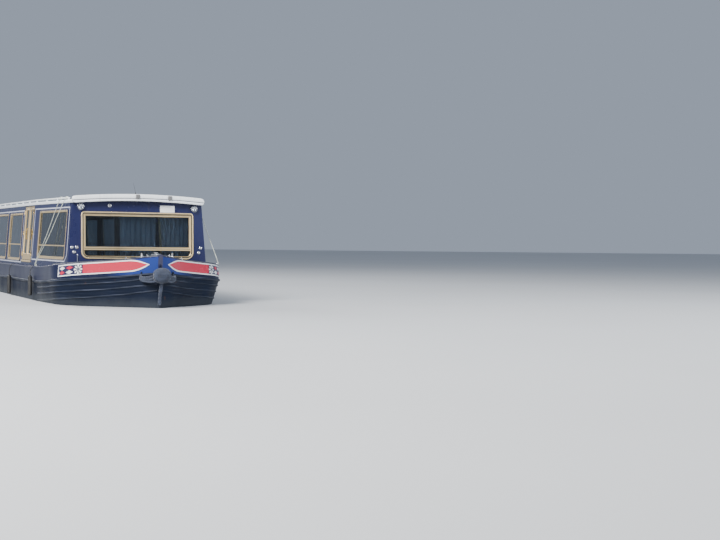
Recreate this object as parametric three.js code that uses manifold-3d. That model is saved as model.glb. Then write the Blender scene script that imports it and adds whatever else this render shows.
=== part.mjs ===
// A broad-beam canal trip boat in the narrowboat style, in millimetres.
// +X is forward (bow), +Y is port, +Z is up. The origin is the middle of the underside of the
// base plate, half way along the whole boat with its fenders. The waterline is 600 mm up.
import * as THREE from "three";
import { mergeVertices } from "three/addons/utils/BufferGeometryUtils.js";
import Module from "manifold-3d";

const wasm = await Module();
wasm.setup();

// Driving dimensions
const GAP = 0.3;
const BOW_X = 8481;
const STERN_X = -8440;
const END_X = 8700;
const HALF_BEAM = 1680;
const GUNWALE_Z = 1290;
const COUNTER_Z = 520;
const STRAKE_Z = 990;
const AFT_RIM_Z = 1230;
const FLOOR_Z = 250;
const STEM_HALF = 28;
const HULL_AFT_CUT = -5950;
const HULL_FORE_CUT = 6725;

const CABIN_FRONT_X = 6800;
const CABIN_REAR_X = -6000;
const KNUCKLE_X = 3910;
const CABIN_HALF = 1588;
const FRONT_HALF = 1396;
const WALL = 70;
const LEAN = 96 / 1346;
const RAKE = 0.0577;
const ROOF_EDGE_Z = 2580;
const ROOF_TOP_Z = 2636;
const ROOF_CAMBER = 94;
const ROOF_LIP = 14;
const FRONT_FOOT_Z = 1406;

const FRAME_WIDE = 45;
const FRAME_PROUD = 8;
const FRONT_FRAME_PROUD = 16;
const GLASS_IN = 14;
const GLASS = 8;
const GLASS_MARGIN = 30;

const DOOR_X0 = 2800;
const DOOR_X1 = 3880;
const DOOR_Z0 = 1410;
const DOOR_Z1 = 2565;
const DOOR_THICK = 40;
const DOOR_GAP = 7;
const HINGE_OUT = 3;
const BARREL_R = 8;
const BARREL_HALF = 45;

const REAR_DOOR_HALF = 400;
const REAR_DOOR_Z0 = 1330;
const REAR_DOOR_Z1 = 2540;

const STOCK_X = -7850;
const STOCK_R = 30;
const STOCK_HOLE_R = 36;
const SHAFT_Z = 275;
const SHAFT_R = 20;
const SHAFT_HOLE_R = 21;
const STERN_POST_X = -7250;
const PROP_X = -7480;
const PROP_R = 215;

const COLORS = {
  navy: [0x1b2a6b, 0.25, 0.1],
  black: [0x16171a, 0.6, 0.1],
  white: [0xe9eaec, 0.4, 0.0],
  brass: [0xb08a3c, 0.35, 0.9],
  glass: [0x5b6a72, 0.05, 0.0],
  wood: [0x8a5a32, 0.5, 0.0],
  cloth: [0x8e9bb0, 0.9, 0.0],
  brown: [0x3a231b, 0.9, 0.0],
  steel: [0xb9bcc0, 0.3, 1.0],
  bronze: [0xa9793f, 0.35, 0.9],
  rope: [0x8d8a84, 0.9, 0.0],
  rubber: [0x141414, 0.7, 0.0],
  deck: [0x4a4c52, 0.8, 0.0],
  engine: [0x2f5b3c, 0.5, 0.3],
  floor: [0x6b4a30, 0.6, 0.0],
};

const boat = new THREE.Group();
boat.name = "narrowboat";

// Solids and meshes

function toSolid(geometry) {
  const bare = geometry.index ? geometry.toNonIndexed() : geometry.clone();
  for (const name of Object.keys(bare.attributes)) {
    if (name !== "position") bare.deleteAttribute(name);
  }
  const merged = mergeVertices(bare, 1e-3);
  const triVerts = new Uint32Array(merged.index.array);
  const points = merged.attributes.position.array;
  if (signedVolume(points, triVerts) < 0) triVerts.reverse();
  return new wasm.Manifold(new wasm.Mesh({ numProp: 3, vertProperties: points, triVerts }));
}

function signedVolume(points, triangles) {
  const corner = [new THREE.Vector3(), new THREE.Vector3(), new THREE.Vector3()];
  let sum = 0;
  for (let i = 0; i < triangles.length; i += 3) {
    corner.forEach((v, k) => v.fromArray(points, 3 * triangles[i + k]));
    sum += corner[0].dot(corner[1].cross(corner[2])) / 6;
  }
  return sum;
}

function toGeometry(solid) {
  const mesh = solid.getMesh();
  const geometry = new THREE.BufferGeometry();
  geometry.setAttribute("position", new THREE.BufferAttribute(new Float32Array(mesh.vertProperties), 3));
  geometry.setIndex(new THREE.BufferAttribute(new Uint32Array(mesh.triVerts), 1));
  geometry.computeVertexNormals();
  return geometry;
}

function join(...solids) {
  return solids.reduce((all, one) => all.add(one));
}

function add(name, solid, look) {
  const [color, roughness, metalness] = COLORS[look];
  const material = new THREE.MeshStandardMaterial({ color, roughness, metalness });
  if (look === "glass") {
    material.transparent = true;
    material.opacity = 0.4;
  }
  const mesh = new THREE.Mesh(toGeometry(solid), material);
  mesh.name = name;
  boat.add(mesh);
}

// Shapes

// A box between two opposite corners.
function box(x0, x1, y0, y1, z0, z1) {
  const geometry = new THREE.BoxGeometry(x1 - x0, y1 - y0, z1 - z0);
  geometry.translate((x0 + x1) / 2, (y0 + y1) / 2, (z0 + z1) / 2);
  return toSolid(geometry);
}

// A round bar between two points.
function rod(from, to, radius, sides = 16) {
  const a = new THREE.Vector3(...from);
  const b = new THREE.Vector3(...to);
  const geometry = new THREE.CylinderGeometry(radius, radius, a.distanceTo(b), sides);
  const turn = new THREE.Quaternion().setFromUnitVectors(
    new THREE.Vector3(0, 1, 0),
    b.clone().sub(a).normalize(),
  );
  geometry.applyQuaternion(turn);
  geometry.translate((a.x + b.x) / 2, (a.y + b.y) / 2, (a.z + b.z) / 2);
  return toSolid(geometry);
}

// A flat outline as it is seen along the axis that faces it most.
function seenFlat(section) {
  const normal = new THREE.Vector3();
  section.forEach((p, i) => {
    const next = new THREE.Vector3(...section[(i + 1) % section.length]);
    normal.add(new THREE.Vector3(...p).cross(next));
  });
  const sizes = normal.toArray().map(Math.abs);
  const axis = sizes.indexOf(Math.max(...sizes));
  const [u, v] = [0, 1, 2].filter((k) => k !== axis);
  return section.map((p) => new THREE.Vector2(p[u], p[v]));
}

// A skin over sections of equal point count, closed by a cap on the first and the last.
function loft(sections) {
  const count = sections[0].length;
  const index = [];
  for (let i = 0; i + 1 < sections.length; i += 1) {
    for (let j = 0; j < count; j += 1) {
      const a = i * count + j;
      const b = i * count + ((j + 1) % count);
      index.push(a, b, b + count, a, b + count, a + count);
    }
  }
  const ends = [
    [sections[0], 0, -1],
    [sections.at(-1), (sections.length - 1) * count, 1],
  ];
  for (const [section, start, sense] of ends) {
    const outline = seenFlat(section);
    const turned = sense * THREE.ShapeUtils.area(outline) < 0;
    for (const [a, b, c] of THREE.ShapeUtils.triangulateShape(outline, [])) {
      if (turned) index.push(start + c, start + b, start + a);
      else index.push(start + a, start + b, start + c);
    }
  }
  const geometry = new THREE.BufferGeometry();
  geometry.setAttribute("position", new THREE.Float32BufferAttribute(sections.flat(2), 3));
  geometry.setIndex(index);
  return toSolid(geometry);
}

// A tube through points, by an octagon that keeps its size.
function tube(points, radius, sides = 8) {
  const at = points.map((p) => new THREE.Vector3(...p));
  const sections = at.map((p, i) => {
    const before = at[Math.max(i - 1, 0)];
    const after = at[Math.min(i + 1, at.length - 1)];
    const along = after.clone().sub(before).normalize();
    const level = Math.abs(along.z) > 0.95 ? new THREE.Vector3(1, 0, 0) : new THREE.Vector3(0, 0, 1);
    const across = new THREE.Vector3().crossVectors(level, along).normalize();
    const up = new THREE.Vector3().crossVectors(along, across);
    return Array.from({ length: sides }, (_, k) => {
      const turn = (2 * Math.PI * (k + 0.5)) / sides;
      const q = p.clone().addScaledVector(across, radius * Math.cos(turn)).addScaledVector(up, radius * Math.sin(turn));
      return q.toArray();
    });
  });
  return loft(sections);
}

// A rectangle with its own corner radius at the foot and at the head.
function opening(x0, x1, z0, z1, foot = 60, head = 12) {
  const path = new THREE.Path();
  path.moveTo(x0 + foot, z0);
  path.lineTo(x1 - foot, z0);
  path.absarc(x1 - foot, z0 + foot, foot, -Math.PI / 2, 0);
  path.lineTo(x1, z1 - head);
  path.absarc(x1 - head, z1 - head, head, 0, Math.PI / 2);
  path.lineTo(x0 + head, z1);
  path.absarc(x0 + head, z1 - head, head, Math.PI / 2, Math.PI);
  path.lineTo(x0, z0 + foot);
  path.absarc(x0 + foot, z0 + foot, foot, Math.PI, (3 * Math.PI) / 2);
  return path;
}

// Steps per quarter round corner, halved.
const ROUND = 2;

// A plate drawn flat, from an outline of points or a path, between two depths.
function plate(outline, holes, depth0, depth1) {
  const points = Array.isArray(outline)
    ? outline.map(([u, v]) => new THREE.Vector2(u, v))
    : outline.getPoints(ROUND);
  const shape = new THREE.Shape(points);
  shape.holes = holes.map((hole) => new THREE.Path(hole.getPoints(ROUND)));
  const geometry = new THREE.ExtrudeGeometry(shape, { depth: depth1 - depth0, bevelEnabled: false });
  geometry.translate(0, 0, depth0);
  return toSolid(geometry);
}

// A solid that was made flat, stood in its plane.
function stand(solid, plane) {
  return toSolid(toGeometry(solid).applyMatrix4(plane));
}

// The outer face of a cabin side: drawn in X and Z, with depth outwards.
function sidePlane(side, slope) {
  const along = new THREE.Vector3(1, side * slope, 0);
  const up = new THREE.Vector3(0, -side * LEAN, 1);
  const out = new THREE.Vector3().crossVectors(along, up).normalize();
  if (out.y * side < 0) out.negate();
  const start = new THREE.Vector3(KNUCKLE_X, side * CABIN_HALF, GUNWALE_Z);
  start.addScaledVector(along, -KNUCKLE_X).addScaledVector(up, -GUNWALE_Z);
  return new THREE.Matrix4().makeBasis(along, up, out).setPosition(start);
}

// The outer face of the cabin front: drawn in Y and Z, with depth forwards.
function frontPlane() {
  const across = new THREE.Vector3(0, 1, 0);
  const up = new THREE.Vector3(-RAKE, 0, 1);
  const out = new THREE.Vector3(1, 0, RAKE).normalize();
  const start = new THREE.Vector3(CABIN_FRONT_X + RAKE * FRONT_FOOT_Z, 0, 0);
  return new THREE.Matrix4().makeBasis(across, up, out).setPosition(start);
}

// An upright plane across the boat: drawn in Y and Z, with depth forwards.
const ACROSS = new THREE.Matrix4().makeBasis(
  new THREE.Vector3(0, 1, 0),
  new THREE.Vector3(0, 0, 1),
  new THREE.Vector3(1, 0, 0),
);

const FORE_SLOPE = (FRONT_HALF - CABIN_HALF) / (CABIN_FRONT_X - KNUCKLE_X);

// Half width of the cabin's outer face at a place along the boat and a height.
function cabinHalf(x, z) {
  const flat = x > KNUCKLE_X ? CABIN_HALF + FORE_SLOPE * (x - KNUCKLE_X) : CABIN_HALF;
  return flat - LEAN * (z - GUNWALE_Z);
}

// The hull's lines, as half widths. Columns: x, y at the base plate, x, y at the counter's height,
// x, y, z at the strake, x, y, z at the gunwale.
const BOW_LINES = [
  [1000, 1580, 1000, 1650, 1000, 1678, 990, 1000, 1680, 1290],
  [3200, 1580, 3600, 1650, 3800, 1678, 990, 3910, 1680, 1290],
  [4700, 1480, 5100, 1640, 5300, 1677, 1000, 5500, 1679, 1308],
  [5700, 1250, 6100, 1590, 6300, 1672, 1040, 6400, 1674, 1347],
  [6500, 960, 6800, 1490, 6850, 1645, 1078, 6800, 1652, 1370],
  [7100, 640, 7300, 1180, 7290, 1420, 1110, 7320, 1372, 1412],
  [7520, 380, 7650, 790, 7650, 970, 1143, 7700, 912, 1450],
  [7850, 185, 7950, 430, 7960, 575, 1185, 8020, 530, 1495],
  [8070, 80, 8180, 190, 8240, 250, 1228, 8300, 250, 1545],
  [8200, STEM_HALF, 8310, STEM_HALF, 8400, STEM_HALF, 1250, 8450, STEM_HALF, 1575],
];
// The counter and the swim under it. Columns: x, y at the counter's height, x, y, z at the
// strake, x, y, z at the gunwale.
const COUNTER_LINES = [
  [-6900, 1600, -6900, 1660, 985, -6900, 1665, 1230],
  [-7500, 1440, -7520, 1520, 985, -7540, 1530, 1230],
  [-7950, 1130, -7990, 1220, 985, -8020, 1230, 1230],
  [-8220, 700, -8280, 780, 985, -8310, 790, 1230],
  [-8330, 240, -8410, 270, 985, STERN_X, 280, 1230],
];
// Columns: x, y at the base plate, x, y at the counter's height.
const SWIM_LINES = [
  [-3600, 1580, -4200, 1650],
  [-4900, 1340, -5400, 1450],
  [-5900, 900, -6300, 1000],
  [-6700, 420, -6900, 470],
  [STERN_POST_X, 50, STERN_POST_X, 50],
];

// Points on a smooth curve through a row of points.
const FAIR_STEPS = 2;

function fair(points) {
  const curve = new THREE.CatmullRomCurve3(
    points.map((p) => new THREE.Vector3(...p)),
    false,
    "centripetal",
  );
  const count = (points.length - 1) * FAIR_STEPS;
  return Array.from({ length: count + 1 }, (_, i) => curve.getPoint(i / count).toArray());
}

// The long straight side and, from its end, the bow: one line of points for each column group.
function bowLineOf(pick) {
  const [straight, ...curved] = BOW_LINES.map(pick);
  return [straight, ...fair(curved)];
}

function sternLineOf(pick) {
  return fair([...COUNTER_LINES].reverse().map(pick));
}

const BOW = {
  base: bowLineOf((row) => [row[0], row[1], 0]),
  chine: bowLineOf((row) => [row[2], row[3], COUNTER_Z]),
  strake: bowLineOf((row) => [row[4], row[5], row[6]]),
  gunwale: bowLineOf((row) => [row[7], row[8], row[9]]),
};
const STERN = {
  chine: sternLineOf((row) => [row[0], row[1], COUNTER_Z]),
  strake: sternLineOf((row) => [row[2], row[3], row[4]]),
  gunwale: sternLineOf((row) => [row[5], row[6], row[7]]),
};
const STEP_X = CABIN_REAR_X - 1;
const RIM = [
  ...STERN.gunwale,
  [STEP_X, HALF_BEAM, AFT_RIM_Z],
  [CABIN_REAR_X, HALF_BEAM, GUNWALE_Z],
  ...BOW.gunwale,
];

function bothSides(half) {
  return [...half, ...half.map(([x, y, z]) => [x, -y, z]).reverse()];
}

function hullBody() {
  const upper = STERN.chine.map((chine, i) => bothSides([STERN.gunwale[i], STERN.strake[i], chine]));
  for (const [x, z] of [[STEP_X, AFT_RIM_Z], [CABIN_REAR_X, GUNWALE_Z]]) {
    upper.push(bothSides([[x, HALF_BEAM, z], [x, 1678, STRAKE_Z], [x, 1650, COUNTER_Z]]));
  }
  const overlap = 1;
  const swimBase = fair([...SWIM_LINES].reverse().map(([x, y]) => [x, y, 0]));
  const swimHead = fair([...SWIM_LINES].reverse().map((row) => [row[2], row[3], COUNTER_Z + overlap]));
  const lower = swimBase.map((base, i) => bothSides([swimHead[i], base]));
  BOW.chine.forEach((chine, i) => {
    const [x, y, z] = chine;
    upper.push(bothSides([BOW.gunwale[i], BOW.strake[i], chine]));
    lower.push(bothSides([[x, y, z + overlap], BOW.base[i]]));
  });
  return join(loft(upper), loft(lower));
}

// Columns: x, half width at the floor, at the counter's height, just above it, and at the top.
const CABIN_SPACE = [
  [-6100, 700, 880, 1500, 1518],
  [-5400, 980, 1150, 1500, 1518],
  [-4300, 1380, 1480, 1500, 1518],
  [KNUCKLE_X, 1380, 1480, 1500, 1518],
  [5300, 1150, 1370, 1400, 1420],
  [6900, 560, 1000, 1060, 1280],
];

function cabinSpace() {
  const top = 2000;
  return loft(
    CABIN_SPACE.map(([x, floor, mid, shoulder, high]) =>
      bothSides([
        [x, high, top],
        [x, high, GUNWALE_Z - 90],
        [x, shoulder, COUNTER_Z + 50],
        [x, mid, COUNTER_Z - 10],
        [x, floor, FLOOR_Z],
      ]),
    ),
  );
}

// A bar of square section that follows a line of points on the hull.
function strake(points, wide, proud) {
  return loft(
    points.map(([x, y, z], i) => {
      const before = points[Math.max(i - 1, 0)];
      const after = points[Math.min(i + 1, points.length - 1)];
      const length = Math.hypot(after[0] - before[0], after[1] - before[1]);
      const side = Math.sign(y);
      const nx = (-side * side * (after[1] - before[1])) / length;
      const ny = (after[0] - before[0]) / length;
      const flip = ny * side < 0 ? -1 : 1;
      const out = [flip * nx, flip * ny];
      const inner = 12;
      return [
        [x - inner * out[0], y - inner * out[1], z - wide / 2],
        [x + proud * out[0], y + proud * out[1], z - wide / 3],
        [x + proud * out[0], y + proud * out[1], z + wide / 3],
        [x - inner * out[0], y - inner * out[1], z + wide / 2],
      ];
    }),
  );
}

// The line on the bow's side at a share of the way from the strake's height down to the base.
function bowLine(side, drops) {
  const start = 1 + FAIR_STEPS;
  const strakeLine = BOW.strake.slice(start);
  const chineLine = BOW.chine.slice(start);
  return strakeLine.map(([xt, yt, zt], i) => {
    const z = zt - drops[0] - (drops[1] - drops[0]) * (i / (strakeLine.length - 1));
    const share = (zt - z) / (zt - COUNTER_Z);
    const [xs, ys] = chineLine[i];
    return [xt + (xs - xt) * share, side * (yt + (ys - yt) * share), z];
  });
}

// Columns: drop below the main strake at the shoulder, and at the stem.
const BOW_STRAKES = [
  [108, 83],
  [233, 198],
  [373, 316],
];

// Columns: first x, last x, half width, foot z, head z.
const ENGINE_BAY = [-7350, -6050, 430, 600, 1400];
const ENGINE_PIT = [-6800, -6050, 330, 130, 700];
const BOW_LOCKER = [7180, 7780, 330, 900, 1700];

function hollow([x0, x1, half, z0, z1]) {
  return box(x0, x1, -half, half, z0, z1);
}

function hull() {
  let body = hullBody();
  for (const side of [-1, 1]) {
    const main = [...STERN.strake, ...BOW.strake].map(([x, y, z]) => [x, side * y, z]);
    body = body.add(strake(main, 42, 22));
    for (const drops of BOW_STRAKES) body = body.add(strake(bowLine(side, drops), 30, 16));
  }
  const aft = HULL_AFT_CUT;
  const fore = HULL_FORE_CUT;
  const wide = 2000;
  const top = 2000;
  const sides = body.subtract(cabinSpace());
  add("hull_bottom", body.intersect(box(aft, fore, -wide, wide, -1, FLOOR_Z)), "black");
  add("hull_side_starboard", sides.intersect(box(aft, fore, -wide, 0, FLOOR_Z + GAP, top)), "black");
  add("hull_side_port", sides.intersect(box(aft, fore, 0, wide, FLOOR_Z + GAP, top)), "black");
  const bow = body.intersect(box(fore + GAP, END_X, -wide, wide, -1, top));
  add("hull_bow", bow.subtract(hollow(BOW_LOCKER)).subtract(stemBar(0, 90, 60)), "black");
  const counter = body.intersect(box(-END_X, aft - GAP, -wide, wide, -1, top));
  add("hull_counter", sternFittings(counter.subtract(hollow(ENGINE_BAY)).subtract(hollow(ENGINE_PIT))), "black");
}

// The skeg with the rudder's heel, the stern tube and the rudder's tube, with their holes.
function sternFittings(counter) {
  const skeg = box(STOCK_X - 60, STERN_POST_X + 200, -45, 45, 0, 30);
  const heel = rod([STOCK_X, 0, 25], [STOCK_X, 0, 52], 24);
  const sternTube = rod([PROP_X + 65, 0, SHAFT_Z], [STERN_POST_X + 250, 0, SHAFT_Z], 48);
  const stockTube = rod([STOCK_X, 0, 400], [STOCK_X, 0, 1500], STOCK_HOLE_R, 24);
  const shaftHole = rod([PROP_X, 0, SHAFT_Z], [-6700, 0, SHAFT_Z], SHAFT_HOLE_R, 24);
  return join(counter, skeg, heel, sternTube).subtract(stockTube).subtract(shaftHole);
}

// The point of the gunwale at a place along the boat.
function rimPoint(x) {
  const i = Math.min(Math.max(RIM.findIndex((p) => p[0] > x), 1), RIM.length - 1);
  const [a, b] = [RIM[i - 1], RIM[i]];
  const share = (x - a[0]) / (b[0] - a[0]);
  return [x, a[1] + (b[1] - a[1]) * share, a[2] + (b[2] - a[2]) * share];
}

// Places along the boat from one x to another, with all points of the gunwale between.
function stations(x0, x1) {
  return [x0, ...RIM.map((p) => p[0]).filter((x) => x > x0 + 1 && x < x1 - 1), x1];
}

const DECK_THICK = 30;
const FOREDECK_X0 = 6700;
const FOREDECK_X1 = 8420;

function foredeckSlab(low, high) {
  const inset = 22;
  return loft(
    stations(FOREDECK_X0, FOREDECK_X1).map((x) => {
      const [, y, z] = rimPoint(x);
      const half = Math.max(y - inset, 12);
      return [
        [x, half, z + low],
        [x, half, z + high],
        [x, -half, z + high],
        [x, -half, z + low],
      ];
    }),
  );
}

function foredeck() {
  return foredeckSlab(GAP, DECK_THICK).subtract(box(7210, 7750, -300, 300, 1300, 1700));
}

function lockerLid() {
  const low = (x) => rimPoint(x)[2] + DECK_THICK + GAP;
  const lid = loft(
    stations(7170, 7790).map((x) => [
      [x, 340, low(x)],
      [x, 340, low(x) + 22],
      [x, -340, low(x) + 22],
      [x, -340, low(x)],
    ]),
  );
  return lid;
}

// The stem bar. Columns: height, x of its back, x of its nose.
const STEM_LINE = [
  [0, 8200, 8250],
  [COUNTER_Z, 8310, 8352],
  [1250, 8400, 8440],
  [1575, 8450, 8477],
  [1612, 8450, BOW_X],
];

function stemBar(gap, half, grow) {
  return loft(
    STEM_LINE.map(([z, back, nose]) => [
      [back + gap, -half, z],
      [nose + grow, -half, z],
      [nose + grow, half, z],
      [back + gap, half, z],
    ]),
  );
}

// The mooring stud on the foredeck, with a cross bar and a flat cap.
const BOW_STUD_X = 8120;
const BOW_STUD_CAP = [90, 102, 42];

function bowStud() {
  const x = BOW_STUD_X;
  const z = rimPoint(x)[2] + DECK_THICK;
  const [low, high, r] = BOW_STUD_CAP;
  const stud = join(
    box(x - 70, x + 70, -70, 70, z - 25, z + 22),
    rod([x, 0, z + 5], [x, 0, z + low + 5], 26),
    rod([x, -90, z + 58], [x, 90, z + 58], 14),
    rod([x, 0, z + low], [x, 0, z + high], r, 24),
  );
  return stud.subtract(foredeckSlab(-60, DECK_THICK + GAP));
}

// A mooring dolly on the aft deck. Columns: foot z over the deck, head z, radius.
const DOLLY_X = -6450;
const DOLLY_Y = 1330;
const DOLLY = [
  [0, 14, 62],
  [10, 115, 30],
  [112, 126, 48],
];

function sternDolly(side) {
  const z = GUNWALE_Z + GAP;
  const y = side * DOLLY_Y;
  return join(...DOLLY.map(([low, high, r]) => rod([DOLLY_X, y, z + low], [DOLLY_X, y, z + high], r, 24)));
}

// The rope fender on the stem, with its two arms and its tail.
function bowFender() {
  const z = 1195;
  const near = BOW_X - 47.3;
  const body = [];
  for (const [share, r] of [[-1, 70], [-0.7, 122], [0, 150], [0.7, 122], [1, 70]]) {
    body.push(
      Array.from({ length: 12 }, (_, k) => {
        const turn = (2 * Math.PI * k) / 12;
        const reach = END_X - near;
        return [near + reach * (0.5 + ((0.5 * r) / 150) * Math.cos(turn)), share * 165, z + r * Math.sin(turn)];
      }),
    );
  }
  return loft(body);
}

function sternFender() {
  const z = 930;
  const near = STERN_X + 42.2;
  const body = [];
  for (const [share, r] of [[-1, 70], [-0.7, 120], [0, 145], [0.7, 120], [1, 70]]) {
    body.push(
      Array.from({ length: 12 }, (_, k) => {
        const turn = (2 * Math.PI * k) / 12;
        const reach = near + END_X;
        return [near - reach * (0.5 - ((0.5 * r) / 145) * Math.cos(turn)), share * 240, z + r * Math.sin(turn)];
      }),
    );
  }
  return loft(body);
}

// Windows. Columns: first x, last x, foot z, head z.
const FORE_WINDOW = [4440, 6500, 1500, 2410];
const AFT_WINDOWS = [
  [970, 2550, 1420, 2400],
  [-960, 620, 1420, 2400],
  [-2890, -1310, 1420, 2400],
  [-4820, -3240, 1420, 2400],
];

function frameRing([x0, x1, z0, z1]) {
  const w = FRAME_WIDE;
  return plate(opening(x0 - w, x1 + w, z0 - w, z1 + w, 90, 30), [opening(x0, x1, z0, z1)], -4, FRAME_PROUD);
}

function glassStrip(windows, grow) {
  const m = GLASS_MARGIN + grow;
  const x0 = Math.min(...windows.map((w) => w[0])) - m;
  const x1 = Math.max(...windows.map((w) => w[1])) + m;
  const z0 = Math.min(...windows.map((w) => w[2])) - m;
  const z1 = Math.max(...windows.map((w) => w[3])) + m;
  return plate([[x0, z0], [x1, z0], [x1, z1], [x0, z1]], [], -GLASS_IN - GLASS - grow, -GLASS_IN + grow);
}

function cabinSide(outline, windows, doors) {
  const holes = windows.map((w) => opening(...w));
  if (doors) holes.push(opening(DOOR_X0, DOOR_X1, DOOR_Z0, DOOR_Z1, 3, 3));
  const wall = plate(outline, holes, -WALL, 0);
  return join(wall, ...windows.map(frameRing)).subtract(glassStrip(windows, GAP));
}

const SIDES = [
  ["starboard", -1],
  ["port", 1],
];

// A leaning wall's outer foot stands this much above the deck, so that its inner foot rests there.
const WALL_HEAD = 1.2;
const WALL_SEAT = GAP + (WALL * LEAN) / Math.hypot(1, LEAN);

function frontX(z) {
  return CABIN_FRONT_X - RAKE * (z - FRONT_FOOT_Z);
}

function cabin() {
  const head = ROOF_EDGE_Z + WALL_HEAD;
  for (const [name, side] of SIDES) {
    const fore = sidePlane(side, FORE_SLOPE);
    const aft = sidePlane(side, 0);
    const step = FOREDECK_X0 - 2;
    const end = WALL + 6 + GAP;
    const foot = stations(KNUCKLE_X, step).map((x) => [x, rimPoint(x)[2] + WALL_SEAT]);
    const onDeck = [step, CABIN_FRONT_X - end].map((x) => [x, rimPoint(x)[2] + DECK_THICK + WALL_SEAT]);
    const foreOutline = [
      ...foot,
      ...onDeck,
      [frontX(head) - end, head],
      [KNUCKLE_X, head],
    ];
    add("cabin_side_fore_" + name, stand(cabinSide(foreOutline, [FORE_WINDOW], false), fore), "navy");
    add("side_glass_fore_" + name, stand(glassStrip([FORE_WINDOW], 0), fore), "glass");
    const low = GUNWALE_Z + WALL_SEAT;
    const near = KNUCKLE_X - 8;
    const aftOutline = [
      [CABIN_REAR_X, low],
      [near, low],
      [near, head],
      [CABIN_REAR_X, head],
    ];
    add("cabin_side_aft_" + name, stand(cabinSide(aftOutline, AFT_WINDOWS, true), aft), "navy");
    add("side_glass_aft_" + name, stand(glassStrip(AFT_WINDOWS, 0), aft), "glass");
    sideDoors(name, side, aft);
  }
}

// A door's hinge barrel on the wall's face, and its strap, drawn flat with the barrel along Y.
function hingeLeaf(edge, inward, z) {
  const depth = BARREL_R + GAP;
  const reach = edge + inward * 30;
  return [
    rod([edge, z - BARREL_HALF, depth], [edge, z + BARREL_HALF, depth], BARREL_R, 12),
    box(Math.min(edge, reach), Math.max(edge, reach), z - BARREL_HALF + 5, z + BARREL_HALF - 5, depth - 3, depth + 3),
    box(
      Math.min(edge + inward * 12, reach),
      Math.max(edge + inward * 12, reach),
      z - BARREL_HALF + 5,
      z + BARREL_HALF - 5,
      -HINGE_OUT - 4,
      depth + 1,
    ),
  ];
}

function sideDoors(name, side, plane) {
  const middle = (DOOR_X0 + DOOR_X1) / 2;
  const leaves = [
    ["aft", DOOR_X0 + DOOR_GAP, middle - DOOR_GAP / 2],
    ["fore", middle + DOOR_GAP / 2, DOOR_X1 - DOOR_GAP],
  ];
  for (const [which, x0, x1] of leaves) {
    const z0 = DOOR_Z0 + DOOR_GAP;
    const z1 = DOOR_Z1 - DOOR_GAP;
    const rail = 60;
    const frame = plate(
      [[x0, z0], [x1, z0], [x1, z1], [x0, z1]],
      [opening(x0 + rail, x1 - rail, z0 + 2 * rail, z1 - rail, 20, 20)],
      -DOOR_THICK - HINGE_OUT,
      -HINGE_OUT,
    );
    const inset = rail - 10;
    const pane = plate(
      [[x0 + inset, z0 + inset], [x1 - inset, z0 + inset], [x1 - inset, z1 - inset], [x0 + inset, z1 - inset]],
      [],
      -27,
      -19,
    );
    const edge = which === "aft" ? x0 - DOOR_GAP : x1 + DOOR_GAP;
    const inward = which === "aft" ? 1 : -1;
    const hinges = [z0 + 120, (z0 + z1) / 2, z1 - 120].flatMap((z) => hingeLeaf(edge, inward, z));
    add("side_door_" + which + "_" + name, stand(join(frame, pane, ...hinges), plane), "brass");
  }
}

const FRONT_WINDOW = [-1078, 1078, 1540, 2368];

// The arched head of a piece across the boat under the roof.
function archOutline(halfAt, footZ, headZ, drop) {
  const top = halfAt(headZ);
  const points = [
    [-halfAt(footZ), footZ],
    [halfAt(footZ), footZ],
  ];
  const steps = 10;
  for (let i = 0; i <= steps; i += 1) {
    const y = top - (2 * top * i) / steps;
    points.push([y, headZ + ROOF_CAMBER * (1 - (y / top) ** 2) - drop]);
  }
  return points;
}

function front() {
  const plane = frontPlane();
  const half = (z) => cabinHalf(CABIN_FRONT_X, z);
  const window = opening(...FRONT_WINDOW, 90, 12);
  const outline = archOutline(half, 1400.4, ROOF_EDGE_Z, 2);
  const slotSize = [[FRONT_WINDOW[0] - 30, FRONT_WINDOW[1] + 30, FRONT_WINDOW[2] - 30, FRONT_WINDOW[3] + 30]];
  const slab = (m, d0, d1) => {
    const [x0, x1, z0, z1] = slotSize[0];
    return plate([[x0 - m, z0 - m], [x1 + m, z0 - m], [x1 + m, z1 + m], [x0 - m, z1 + m]], [], d0, d1);
  };
  const wall = plate(outline, [window], -WALL, 0);
  const slot = slab(GAP, -GLASS_IN - GLASS - GAP, -GLASS_IN + GAP);
  add("cabin_front", stand(wall.subtract(slot), plane), "navy");
  add("front_glass", stand(slab(0, -GLASS_IN - GLASS, -GLASS_IN), plane), "glass");
  const [x0, x1, z0, z1] = FRONT_WINDOW;
  const w = FRAME_WIDE;
  const ring = plate(
    opening(x0 - w, x1 + w, z0 - w, z1 + w, 120, 20),
    [opening(x0 + 8, x1 - 8, z0 + 8, z1 - 8, 84, 10)],
    GAP,
    FRONT_FRAME_PROUD,
  );
  const bar = plate([[x0, 1694], [x1, 1694], [x1, 1724], [x0, 1724]], [], GAP, FRONT_FRAME_PROUD - 2);
  add("front_window_frame", stand(join(ring, bar), plane), "brass");
  for (const [name, side] of SIDES) {
    const lamp = new THREE.CylinderGeometry(62, 50, 60, 20);
    lamp.rotateX(Math.PI / 2);
    lamp.translate(side * 1139, 2501, 30 + GAP);
    lamp.applyMatrix4(plane);
    add("headlamp_" + name, toSolid(lamp), "steel");
  }
}

const ROOF_STEPS = 10;

function roofHalf(x) {
  return cabinHalf(x, ROOF_EDGE_Z) + ROOF_LIP;
}

// The roof's cross section, as two cambered lines.
function roofSection(x, low, high) {
  const half = roofHalf(x);
  const arc = (z, from, to) =>
    Array.from({ length: ROOF_STEPS + 1 }, (_, i) => {
      const y = from + ((to - from) * i) / ROOF_STEPS;
      return [x, y, z + ROOF_CAMBER * (1 - (y / half) ** 2)];
    });
  return [...arc(low, -half, half), ...arc(high, half, -half)];
}

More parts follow.
